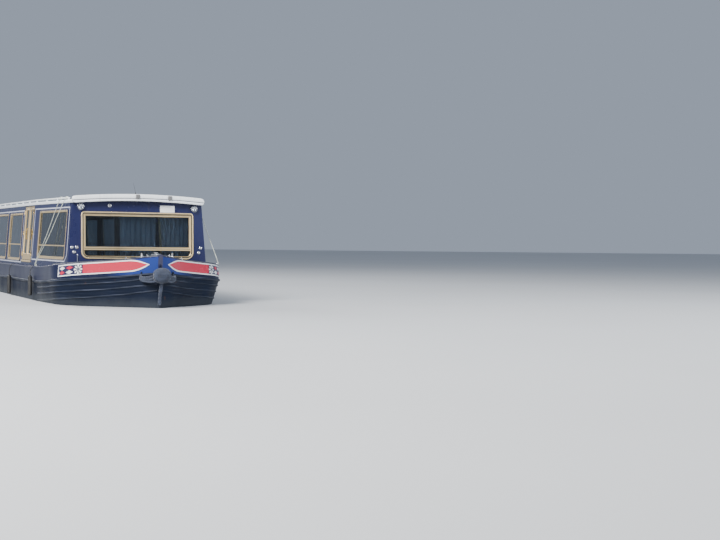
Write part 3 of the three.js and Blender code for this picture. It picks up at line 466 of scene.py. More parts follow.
FLOOR_WOOD = Timber("floor_boards", "varnished_wood", (0.2, 0.105, 0.05), 0.42)
GREY_ROPE = Fibre("grey_rope", "rope", (0.036, 0.048, 0.082), 0.9, dirt=(0.018, 0.023, 0.04))
PALE_ROPE = Fibre("pale_rope", "rope", (0.6, 0.64, 0.57), 0.85, dirt=(0.34, 0.36, 0.3))
BLACK_ROPE = Fibre("black_rope", "rope", (0.02, 0.02, 0.024), 0.85, dirt=(0.035, 0.033, 0.03))
FENDER_GREY = Rubber("fender_rubber", "rubber", (0.11, 0.11, 0.115), 0.55, chalk=(0.22, 0.21, 0.2))
BLACK_RUBBER = Rubber("black_rubber", "rubber", (0.015, 0.015, 0.016), 0.5, chalk=(0.05, 0.05, 0.05))
DECK = DeckPaint("deck_grit_paint", "deck_paint", (0.06, 0.065, 0.075), 0.75)
ENGINE_GREEN = CoachPaint(
    "engine_paint", "engine_green", (0.02, 0.1, 0.05), 0.35,
    faded=(0.03, 0.13, 0.07), dirt=(0.02, 0.015, 0.01), grime=0.5,
)
PALE_CLOTH = Cloth("pale_curtain_cloth", "curtain_cloth", (0.34, 0.38, 0.48), 0.85)
BROWN_CLOTH = Cloth(
    "brown_curtain_cloth", "curtain_cloth", (0.045, 0.025, 0.017), 0.9,
    faded=(0.08, 0.05, 0.035),
)
FLOOR = Ground("pale_floor", "", (0.56, 0.57, 0.58), 0.8)


# Shapes


@dataclass
class Shape:
    """Points and faces that are still being put together."""

    points: Line = field(default_factory=list)
    faces: list[tuple[int, ...]] = field(default_factory=list)

    def add(self, *others: "Shape") -> "Shape":
        """Takes in other shapes, and returns itself."""
        for other in others:
            start = len(self.points)
            self.points += other.points
            self.faces += [tuple(start + i for i in face) for face in other.faces]
        return self

    def placed(self, matrix: Matrix) -> "Shape":
        """A copy, moved by a matrix."""
        return Shape([matrix @ p for p in self.points], list(self.faces))

    def mesh(self, name: str, edges: Sequence[tuple[int, int]] = ()) -> bpy.types.Mesh:
        """A mesh of the points and faces, and of loose edges where there are any."""
        made = bpy.data.meshes.new(name)
        made.from_pydata([tuple(p) for p in self.points], edges, self.faces)
        return made


def mm(*pairs: Flat) -> Profile:
    """A profile that is given in millimetres."""
    return tuple((a / 1000, b / 1000) for a, b in pairs)


def grid(rows: Sequence[Line], wrap: bool = False, caps: bool = False, loop: bool = False) -> Shape:
    """A skin over rows of points.

    Args:
        rows: Rows of equal length.
        wrap: Whether each row is closed on itself.
        caps: Whether the first and the last row get a face.
        loop: Whether the last row joins the first.

    Returns:
        The skin.
    """
    wide = len(rows[0])
    shape = Shape([p for row in rows for p in row])
    for i in range(len(rows) if loop else len(rows) - 1):
        for j in range(wide if wrap else wide - 1):
            a, b = i * wide + j, i * wide + (j + 1) % wide
            c, d = (a + wide) % len(shape.points), (b + wide) % len(shape.points)
            shape.faces.append((a, b, d, c))
    if caps:
        last = (len(rows) - 1) * wide
        shape.faces.append(tuple(reversed(range(wide))))
        shape.faces.append(tuple(last + i for i in range(wide)))
    return shape


def frames(path: Line, closed: bool = False) -> list[tuple[Vector, Vector, Vector]]:
    """Directions along, across and up at each point of a path, without twist."""
    made = []
    count = len(path)
    across = None
    for i, _ in enumerate(path):
        before = path[i - 1] if closed or i else path[0]
        after = path[(i + 1) % count] if closed or i + 1 < count else path[-1]
        along = (after - before).normalized()
        if across is None:
            guide = UP if abs(along.z) < 0.9 else Vector((1, 0, 0))
            across = guide.cross(along)
        across = (across - along * across.dot(along)).normalized()
        made.append((along, across, along.cross(across)))
    return made


def around(centre: Vector, across: Vector, up: Vector, radius: float, angle: float) -> Vector:
    """A point on a circle around a centre, from the circle's two directions."""
    return centre + across * (radius * cos(angle)) + up * (radius * sin(angle))


def ellipse(centre: Point, u: Point, v: Point, count: int) -> Line:
    """Points of an ellipse around a centre, from its two half axes."""
    made = []
    for k in range(count):
        c, s = cos(2 * pi * k / count), sin(2 * pi * k / count)
        made.append(Vector([m + a * c + b * s for m, a, b in zip(centre, u, v)]))
    return made


def tube(path: Sequence[Point], radius: float | Point, sides: int = 12, closed: bool = False) -> Shape:
    """A round bar along a path.

    Args:
        path: The points of its middle.
        radius: One radius, or one for each point.
        sides: Faces around it.
        closed: Whether it is a ring.

    Returns:
        The bar, with closed ends.
    """
    rows = []
    line = [Vector(p) for p in path]
    turns = [2 * pi * k / sides for k in range(sides)]
    for i, (_, across, up) in enumerate(frames(line, closed)):
        r = radius if isinstance(radius, float) else radius[i]
        rows.append([around(line[i], across, up, r, t) for t in turns])
    return grid(rows, wrap=True, caps=not closed, loop=closed)


def ring(centre: Point, u: Point, v: Point, radius: float, sides: int, count: int = 20) -> Shape:
    """A closed ring of round bar, from its centre and its two half axes."""
    return tube(ellipse(centre, u, v, count), radius, sides, closed=True)


def laid(fine: Line, strands: int, step: float, offset: float, thick: float, closed: bool = False) -> Shape:
    """Strands that wind around a path.

    Args:
        fine: The points of the path, at equal steps.
        strands: How many strands there are.
        step: The turn from one point to the next, in radians.
        offset: How far each strand's middle is from the path.
        thick: The radius of each strand.
        closed: Whether the path is a ring.

    Returns:
        The strands as one shape.
    """
    shape = Shape()
    for k in range(strands):
        line = []
        for i, (_, across, up) in enumerate(frames(fine, closed)):
            line.append(around(fine[i], across, up, offset, 2 * pi * k / strands + step * i))
        shape.add(tube(line, thick, 6, closed))
    return shape


def rope(path: Line, radius: float, lay: float = 7.0) -> Shape:
    """A rope of three strands, by its outer radius and the length of one turn in radii."""
    return laid(resampled(path, radius * lay / 9), 3, 2 * pi / 9, radius * 0.52, radius * 0.5)


def resampled(path: Line, step: float) -> Line:
    """The same path with points at equal steps."""
    lengths = [0.0]
    for a, b in zip(path, path[1:]):
        lengths.append(lengths[-1] + (b - a).length)
    count = max(2, round(lengths[-1] / step) + 1)
    made, j = [], 0
    for i in range(count):
        want = lengths[-1] * i / (count - 1)
        while j < len(path) - 2 and lengths[j + 1] < want:
            j += 1
        share = (want - lengths[j]) / max(lengths[j + 1] - lengths[j], 1e-9)
        made.append(path[j].lerp(path[j + 1], share))
    return made


def curve_through(points: Sequence[Point], steps: int) -> Line:
    """A smooth centripetal curve through points, with the given steps between two of them."""
    p = [Vector(q) for q in points]
    p = [p[0] * 2 - p[1], *p, p[-1] * 2 - p[-2]]
    made = []
    for i in range(1, len(p) - 2):
        d = [max((p[i + k] - p[i + k - 1]).length ** 0.5, 1e-4) for k in (0, 1, 2)]
        a, b = p[i], p[i + 1]
        t1 = ((a - p[i - 1]) / d[0] - (b - p[i - 1]) / (d[0] + d[1]) + (b - a) / d[1]) * d[1]
        t2 = ((b - a) / d[1] - (p[i + 2] - a) / (d[1] + d[2]) + (p[i + 2] - b) / d[2]) * d[1]
        for k in range(steps):
            t = k / steps
            cubic = a * 2 - b * 2 + t1 + t2
            square = b * 3 - a * 3 - t1 * 2 - t2
            made.append(a + t1 * t + square * t**2 + cubic * t**3)
    made.append(p[-2].copy())
    return made


def turned(
    profile: Sequence[Flat], origin: Point = (0, 0, 0), sides: int = 32, axis: Point = (0, 0, 1)
) -> Shape:
    """A turned piece.

    Args:
        profile: Radius and height of each ring, from one end to the other.
        origin: Where the height is 0.
        sides: Faces around it.
        axis: The direction of its middle.

    Returns:
        The piece, closed at both ends.
    """
    turn = UP.rotation_difference(Vector(axis).normalized()).to_matrix().to_4x4()
    rows = [ellipse((0, 0, high), (radius, 0, 0), (0, radius, 0), sides) for radius, high in profile]
    return grid(rows, wrap=True, caps=True).placed(Matrix.Translation(Vector(origin)) @ turn)


def block(one: Point, other: Point, round_off: float = 0.004, steps: int = 2) -> Shape:
    """A block between two opposite corners, with its edges rounded off."""
    low, high = ([pick(pair) for pair in zip(one, other)] for pick in (min, max))
    bm = bmesh.new()
    bmesh.ops.create_cube(bm, size=1.0)
    for v in bm.verts:
        v.co = Vector((low[k] + (high[k] - low[k]) * (v.co[k] + 0.5) for k in range(3)))
    bmesh.ops.bevel(bm, geom=bm.edges[:], offset=round_off, segments=steps, affect="EDGES", profile=0.5)
    bm.verts.index_update()
    shape = Shape([v.co.copy() for v in bm.verts], [tuple(v.index for v in f.verts) for f in bm.faces])
    bm.free()
    return shape


def plate(outline: Sequence[Flat], low: float, high: float, holes: Sequence[Sequence[Flat]] = ()) -> Shape:
    """A flat plate, drawn in X and Y, between two heights."""
    loops = [list(outline), *[list(h) for h in holes]]
    flat = [Vector((x, y, 0)) for loop in loops for x, y in loop]
    triangles = tessellate_polygon([[Vector((x, y, 0)) for x, y in loop] for loop in loops])
    count = len(flat)
    shape = Shape([p + Vector((0, 0, low)) for p in flat] + [p + Vector((0, 0, high)) for p in flat])
    for a, b, c in triangles:
        shape.faces += [(c, b, a), (a + count, b + count, c + count)]
    start = 0
    for loop in loops:
        size = len(loop)
        for i in range(size):
            a, b = start + i, start + (i + 1) % size
            shape.faces.append((a, b, b + count, a + count))
        start += size
    return shape


def rectangle(x0: float, x1: float, z0: float, z1: float) -> list[Flat]:
    """A rectangle's outline."""
    return [(x0, z0), (x1, z0), (x1, z1), (x0, z1)]


def rounded(
    x0: float, x1: float, z0: float, z1: float, foot: float, head: float, steps: int = 8
) -> list[Flat]:
    """A rectangle with one corner radius at its foot and one at its head."""
    corners = [(x1 - foot, z0 + foot, foot, -90), (x1 - head, z1 - head, head, 0)]
    corners += [(x0 + head, z1 - head, head, 90), (x0 + foot, z0 + foot, foot, 180)]
    made = []
    for x, z, r, start in corners:
        for k in range(steps + 1):
            angle = radians(start + 90 * k / steps)
            made.append((x + r * cos(angle), z + r * sin(angle)))
    return made


def moulding(outline: Sequence[Flat], section: Sequence[Flat]) -> Shape:
    """A moulded ring that follows a closed outline.

    Args:
        outline: The ring's line in X and Y, anticlockwise.
        section: Offset outwards and height of each point of its closed cross section.

    Returns:
        The ring, drawn flat.
    """
    count = len(outline)
    rows = []
    for i, here in enumerate(outline):
        a = Vector(outline[i - 1])
        b = Vector(outline[(i + 1) % count])
        p = Vector(here)
        n1 = Vector(((p - a).y, -(p - a).x)).normalized()
        n2 = Vector(((b - p).y, -(b - p).x)).normalized()
        mitre = (n1 + n2).normalized()
        mitre /= max(mitre.dot(n1), 0.5)
        rows.append([Vector((p.x + mitre.x * off, p.y + mitre.y * off, high)) for off, high in section])
    return grid(rows, wrap=True, loop=True)


def crowned_bar(length_from: Flat, length_to: Flat, half: float, low: float, high: float) -> Shape:
    """A straight bar, drawn flat, with a crowned face."""
    a, b = Vector(length_from), Vector(length_to)
    along = (b - a).normalized()
    out = Vector((-along.y, along.x))
    crown, shoulder = half * 0.7, high * 0.7
    section = [(-half, low), (-half, shoulder), (-crown, high), (crown, high), (half, shoulder), (half, low)]
    rows = [[Vector((*(p + out * s), z)) for s, z in section] for p in (a, b)]
    return grid(rows, wrap=True, caps=True)


def facing(plane: Matrix) -> Vector:
    """The direction outwards from a plane."""
    return plane.to_3x3() @ UP


def linked(name: str, data: bpy.types.ID) -> bpy.types.Object:
    """A new object in the scene."""
    made = bpy.data.objects.new(name, data)
    bpy.context.scene.collection.objects.link(made)
    return made


def turn_outwards(mesh: bpy.types.Mesh, merged: bool = False) -> None:
    """Turns a mesh's faces outwards, after its doubles are merged where that is asked."""
    bm = bmesh.new()
    bm.from_mesh(mesh)
    if merged:
        bmesh.ops.remove_doubles(bm, verts=bm.verts[:], dist=1e-6)
    bmesh.ops.recalc_face_normals(bm, faces=bm.faces[:])
    bm.to_mesh(mesh)
    bm.free()


def finished(
    name: str,
    source: Shape | bpy.types.Mesh,
    finish: Finish,
    body: str = "boat",
    replaces: Sequence[str] = (),
    angle: float = 38.0,
) -> bpy.types.Object:
    """Makes a piece of the boat.

    Args:
        name: The piece's name.
        source: Its points and faces, or its finished mesh.
        finish: Its finish.
        body: The body that it moves with.
        replaces: The CAD nodes that it stands for.
        angle: The sharpest edge, in degrees, that is shaded smooth.

    Returns:
        The object.
    """
    mesh = source
    if isinstance(source, Shape):
        mesh = source.mesh(name)
        turn_outwards(mesh, merged=True)
    mesh.materials.clear()
    mesh.materials.append(finish.material())
    mesh.polygons.foreach_set("use_smooth", [True] * len(mesh.polygons))
    mesh.set_sharp_from_angle(angle=radians(angle))
    mesh.update()
    made = linked(name, mesh)
    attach(made, body)
    if replaces:
        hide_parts(*replaces)
    LOG.info("%s rides on %s with %d faces", name, body, len(mesh.polygons))
    return made


@dataclass
class PathRow:
    """A row of equal small pieces along paths, made by a node tree.

    The tree walks along each path in equal steps and sets one copy at each step, with the
    copy's Z outwards and its X along the path.
    """

    name: str
    finish: Finish
    copy: Shape
    spacing: float
    turn: float = 0.0
    seed: int = 3
    paths: list[tuple[Line, Vector]] = field(default_factory=list)

    def on_plane(self, plane: Matrix, outline: Sequence[Flat], depth: float) -> None:
        """Adds a closed path, drawn on a plane at a depth."""
        line = [plane @ Vector((x, z, depth)) for x, z in [*outline, outline[0]]]
        self.paths.append((line, facing(plane)))

    def tree(self) -> bpy.types.NodeTree:
        """Builds the node tree, with its sizes as named inputs."""
        tree = bpy.data.node_groups.new(self.name + "_tree", "GeometryNodeTree")
        kinds = {"Paths": "Geometry", "Spacing": "Float", "Turn": "Float", "Seed": "Int", "Copy": "Object"}
        for name, kind in {**kinds, "Finish": "Material"}.items():
            tree.interface.new_socket(name, in_out="INPUT", socket_type="NodeSocket" + kind)
        tree.interface.new_socket("Row", in_out="OUTPUT", socket_type="NodeSocketGeometry")
        add = tree.nodes.new
        start, end = add("NodeGroupInput"), add("NodeGroupOutput")
        curve = add("GeometryNodeMeshToCurve")
        steps = add("GeometryNodeResampleCurve")
        steps.mode = "LENGTH"
        out = add("GeometryNodeInputNamedAttribute")
        out.data_type = "FLOAT_VECTOR"
        out.inputs["Name"].default_value = "out"
        tangent = add("GeometryNodeInputTangent")
        rise, swing = (add("FunctionNodeAlignRotationToVector") for _ in range(2))
        rise.axis, swing.axis, swing.pivot_axis = "Z", "X", "Z"
        jitter = add("FunctionNodeRandomValue")
        jitter.data_type = "FLOAT"
        roll = add("FunctionNodeAxisAngleToRotation")
        turn = add("FunctionNodeRotateRotation")
        turn.rotation_space = "LOCAL"
        copy = add("GeometryNodeObjectInfo")
        place = add("GeometryNodeInstanceOnPoints")
        real = add("GeometryNodeRealizeInstances")
        paint = add("GeometryNodeSetMaterial")
        lowest = add("ShaderNodeMath")
        lowest.operation = "MULTIPLY"
        lowest.inputs[1].default_value = -1.0
        links = (
            (start, "Paths", curve, "Mesh"),
            (curve, "Curve", steps, "Curve"),
            (start, "Spacing", steps, "Length"),
            (out, "Attribute", rise, "Vector"),
            (rise, "Rotation", swing, "Rotation"),
            (tangent, "Tangent", swing, "Vector"),
            (start, "Turn", lowest, 0),
            (lowest, 0, jitter, 2),
            (start, "Turn", jitter, 3),
            (start, "Seed", jitter, "Seed"),
            (jitter, 1, roll, "Angle"),
            (swing, "Rotation", turn, "Rotation"),
            (roll, "Rotation", turn, "Rotate By"),
            (start, "Copy", copy, "Object"),
            (steps, "Curve", place, "Points"),
            (copy, "Geometry", place, "Instance"),
            (turn, "Rotation", place, "Rotation"),
            (place, "Instances", real, "Geometry"),
            (real, "Geometry", paint, "Geometry"),
            (start, "Finish", paint, "Material"),
            (paint, "Geometry", end, "Row"),
        )
        for giver, output, taker, entry in links:
            tree.links.new(giver.outputs[output], taker.inputs[entry])
        return tree

    def build(self) -> bpy.types.Object:
        """Runs the tree and keeps its result as a plain mesh."""
        shape, edges = Shape(), []
        for line, _ in self.paths:
            start = len(shape.points)
            edges += [(start + i, start + i + 1) for i in range(len(line) - 1)]
            shape.add(Shape(line))
        mesh = shape.mesh(self.name + "_paths", edges)
        flat = [c for line, out in self.paths for _ in line for c in out]
        mesh.attributes.new("out", "FLOAT_VECTOR", "POINT").data.foreach_set("vector", flat)
        guide = linked(self.name + "_guide", mesh)
        pattern = linked(self.name + "_pattern", self.copy.mesh(self.name + "_copy"))
        modifier = guide.modifiers.new("row", "NODES")
        tree = self.tree()
        modifier.node_group = tree
        ids = {item.name: item.identifier for item in tree.interface.items_tree if item.in_out == "INPUT"}
        values = {"Spacing": self.spacing, "Turn": self.turn, "Seed": self.seed, "Copy": pattern}
        for name, value in {**values, "Finish": self.finish.material()}.items():
            modifier[ids[name]] = value
        graph = bpy.context.evaluated_depsgraph_get()
        graph.update()
        result = bpy.data.meshes.new_from_object(guide.evaluated_get(graph), depsgraph=graph)
        for made in (guide, pattern):
            bpy.data.objects.remove(made)
        turn_outwards(result)
        if "out" in result.attributes:
            result.attributes.remove(result.attributes["out"])
        result.name = self.name
        return finished(self.name, result, self.finish)


# The boat's own lines


class Level(Enum):
    """The three long lines of the hull, by their first column in its tables."""

    CHINE = 0
    STRAKE = 2
    GUNWALE = 5


@dataclass(frozen=True)
class HullLines:
    """The lines of the hull, as half widths.

    Columns of bow and counter: x and y at the chine, which lies level, then x, y and z at the
    strake, and x, y and z at the gunwale.
    """

    bow: tuple[tuple[float, ...], ...] = (
        (1.000, 1.650, 1.000, 1.678, 0.990, 1.000, 1.680, 1.290),
        (3.600, 1.650, 3.800, 1.678, 0.990, 3.910, 1.680, 1.290),
        (5.100, 1.640, 5.300, 1.677, 1.000, 5.500, 1.679, 1.308),
        (6.100, 1.590, 6.300, 1.672, 1.040, 6.400, 1.674, 1.347),
        (6.800, 1.490, 6.850, 1.645, 1.078, 6.800, 1.652, 1.370),
        (7.300, 1.180, 7.290, 1.420, 1.110, 7.320, 1.372, 1.412),
        (7.650, 0.790, 7.650, 0.970, 1.143, 7.700, 0.912, 1.450),
        (7.950, 0.430, 7.960, 0.575, 1.185, 8.020, 0.530, 1.495),
        (8.180, 0.190, 8.240, 0.250, 1.228, 8.300, 0.250, 1.545),
        (8.310, 0.028, 8.400, 0.028, 1.250, 8.450, 0.028, 1.575),
    )
    counter: tuple[tuple[float, ...], ...] = (
        (-8.330, 0.240, -8.410, 0.270, 0.985, -8.440, 0.280, 1.230),
        (-8.220, 0.700, -8.280, 0.780, 0.985, -8.310, 0.790, 1.230),
        (-7.950, 1.130, -7.990, 1.220, 0.985, -8.020, 1.230, 1.230),
        (-7.500, 1.440, -7.520, 1.520, 0.985, -7.540, 1.530, 1.230),
        (-6.900, 1.600, -6.900, 1.660, 0.985, -6.900, 1.665, 1.230),
    )
    chine_z: float = 0.520
    rim_step: float = -6.000
    aft_rim_z: float = 1.230
    steps: int = 10

    def line(self, level: Level) -> Line:
        """One level's line on the port side, from the stern to the stem."""
        at = level.value

        def read(row: Point) -> Vector:
            """The level's point in one row of a table."""
            return Vector((row[at], row[at + 1], self.chine_z if level is Level.CHINE else row[at + 2]))

        first, *curved = [read(row) for row in self.bow]
        stern = curve_through([read(row) for row in self.counter], self.steps)
        low = self.aft_rim_z if level is Level.GUNWALE else first.z
        step = [Vector((self.rim_step - 0.001, first.y, low)), Vector((self.rim_step, first.y, first.z))]
        return [*stern, *step, first, *curve_through(curved, self.steps)]

    @staticmethod
    def stretch(line: Line, x: float) -> tuple[Vector, Vector, float]:
        """The two points of a line on both sides of x, and x as a share of the way between them."""
        i = next((k for k in range(1, len(line)) if line[k].x >= x), len(line) - 1)
        a, b = line[i - 1], line[i]
        return a, b, (x - a.x) / max(b.x - a.x, 1e-9)

    def skin_point(self, x: float, z: float) -> tuple[Vector, Vector]:
        """The port side's surface between the strake and the gunwale at x and z.

        Returns:
            The point and the direction outwards.
        """
        row = []
        for low, high in zip(self.line(Level.STRAKE), self.line(Level.GUNWALE)):
            row.append(low.lerp(high, (z - low.z) / (high.z - low.z)))
        a, b, share = self.stretch(row, x)
        out = (b - a).normalized().cross(UP)
        out = -out if out.y < 0 else out
        return a.lerp(b, share), out.normalized()

    def rim(self, x: float) -> Vector:
        """The port gunwale's point at a place along the boat."""
        a, b, share = self.stretch(self.line(Level.GUNWALE), x)
        return a.lerp(b, share)


LINES = HullLines()


def mirrored(line: Line, side: Side) -> Line:
    """A line of the port side on the given side."""
    return [side.at(*p) for p in line]


def outwards(line: Line) -> Line:
    """Level directions away from the boat's middle, one for each point of a line."""
    made = []
    for i, p in enumerate(line):
        a, b = line[max(i - 1, 0)], line[min(i + 1, len(line) - 1)]
        along = Vector((b.x - a.x, b.y - a.y, 0))
        if along.length < 1e-4:
            along = Vector((1, 0, 0))
        out = Vector((-along.y, along.x, 0)).normalized()
        made.append(out if out.y * p.y > 0 else -out)
    return made


def repaint(finish: Finish, *nodes: str) -> None:
    """Gives CAD nodes a finish in place of their plain colour."""
    for node in nodes:
        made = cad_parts[node]
        made.data.materials.clear()
        made.data.materials.append(finish.material())
        LOG.info("%s gets %s", node, finish.name)


@dataclass
class Hull:
    """The plating, rubbing strakes, rim and stem of the hull."""

    skin: float = 0.005
    main_strake: Profile = mm(
        (-24, -4), (-22, 14), (-16, 24), (-8, 28), (8, 28), (16, 24), (22, 14), (24, -4),
    )
    bow_strake: Profile = mm(
        (-18, -4), (-16, 10), (-11, 18), (-5, 21), (5, 21), (11, 18), (16, 10), (18, -4),
    )
    bow_strake_drops: Profile = ((0.108, 0.083), (0.233, 0.198), (0.373, 0.316))
    bead: float = 0.012
    stem_half: float = 0.029
    stem_round: float = 0.018
    stem: Places = (
        (0.0, 8.2, 8.25), (0.52, 8.31, 8.352), (1.25, 8.4, 8.44), (1.575, 8.45, 8.476),
        (1.61, 8.45, 8.479),
    )
    head_z: float = 1.475
    head: Profile = (
        (-0.036, 1.352), (-0.026, 1.345), (0.026, 1.345), (0.036, 1.352), (0.043, 1.372), (0.043, 1.596),
        (0.036, 1.609), (-0.036, 1.609), (-0.043, 1.596), (-0.043, 1.372),
    )
    head_section: Profile = mm((-2, 0), (-2, 26), (-7, 31), (-26, 32.5), (-26, 0))

    def plating(self, name: str, upper: Line, lower: Line, finish: Finish, rows: int = 4) -> None:
        """A thin skin around the stern from the port bow to the starboard bow, between two lines."""
        tops, feet = (line[::-1] + mirrored(line, Side.STARBOARD) for line in (upper, lower))
        sections = []
        for top, foot, out in zip(tops, feet, outwards(tops)):
            face = [top.lerp(foot, k / rows) for k in range(rows + 1)]
            sections.append([p + out * self.skin for p in face] + face[::-1])
        finished(name, grid(sections, wrap=True, caps=True), finish, angle=25)

    def strake(self, line: Line, section: Profile) -> Shape:
        """A bar with the given cross section, as heights and offsets, along a line of one side."""
        rows = []
        for p, out in zip(line, outwards(line)):
            rows.append([p + out * off + UP * high for high, off in section])
        return grid(rows, wrap=True, caps=True)

    def bow_line(self, drops: Flat) -> Line:
        """The line of a bow strake, at a drop below the main one that changes towards the stem."""
        strakes, chines = LINES.line(Level.STRAKE), LINES.line(Level.CHINE)
        start = len(strakes) - (len(LINES.bow) - 3) * LINES.steps - 1
        pairs = list(zip(strakes[start:], chines[start:]))
        made = []
        for i, (top, foot) in enumerate(pairs):
            drop = drops[0] + (drops[1] - drops[0]) * i / (len(pairs) - 1)
            made.append(top.lerp(foot, drop / (top.z - foot.z)))
        return made

    def stem_bar(self) -> None:
        """The stem bar, half round at its nose, and its painted head."""
        half, r = self.stem_half, self.stem_round
        turns = [pi * k / 8 - pi / 2 for k in range(9)]
        rows = []
        for z, back, nose in self.stem:
            arc = [(nose - r + r * cos(a), half * sin(a)) for a in turns]
            rows.append([Vector((x, y, z)) for x, y in [(back, -half), *arc, (back, half)]])
        finished("stem_bar_bead", grid(rows, wrap=True, caps=True), BLACKING, replaces=["stem_post"])
        (z0, x0, _), (z1, x1, _) = self.stem[2:4]
        lean = (x1 - x0) / (z1 - z0)
        field_line = [(y * 0.6, self.head_z + (z - self.head_z) * 0.9) for y, z in self.head]
        cap = moulding(self.head, self.head_section).add(plate(field_line, 0.0, 0.0322))
        stand = Matrix(((0, lean, 1, x0 - z0 * lean), (1, 0, 0, 0), (0, 1, 0, 0), (0, 0, 0, 1)))
        finished("stem_head", cap.placed(stand), BOARD_NAVY)

    def build(self) -> None:
        """Builds all pieces of the hull's outside."""
        strake, rim, chine = (LINES.line(level) for level in (Level.STRAKE, Level.GUNWALE, Level.CHINE))
        self.plating("topside_band", rim, strake, BOW_BLUE)
        self.plating("side_plating", strake, chine, BLACKING, 6)
        self.stem_bar()
        bars, beads = Shape(), Shape()
        start = next(i for i, p in enumerate(rim) if p.x >= LINES.rim_step)
        for side in Side:
            bars.add(self.strake(mirrored(strake, side), self.main_strake))
            for drops in self.bow_strake_drops:
                bars.add(self.strake(mirrored(self.bow_line(drops), side), self.bow_strake))
            for part in (rim[: start - 1], rim[start:]):
                beads.add(tube([p + UP * 0.001 for p in mirrored(part, side)], self.bead, 8))
        # The strake finish paints highlights along the bars.
        finished("rubbing_strakes", bars, STRAKE, angle=60)
        finished("gunwale_bead", beads, NAVY, angle=60)
        sides = [f"hull_side_{side.word}" for side in Side]
        repaint(BLACKING, "hull_bottom", *sides, "hull_bow", "hull_counter")


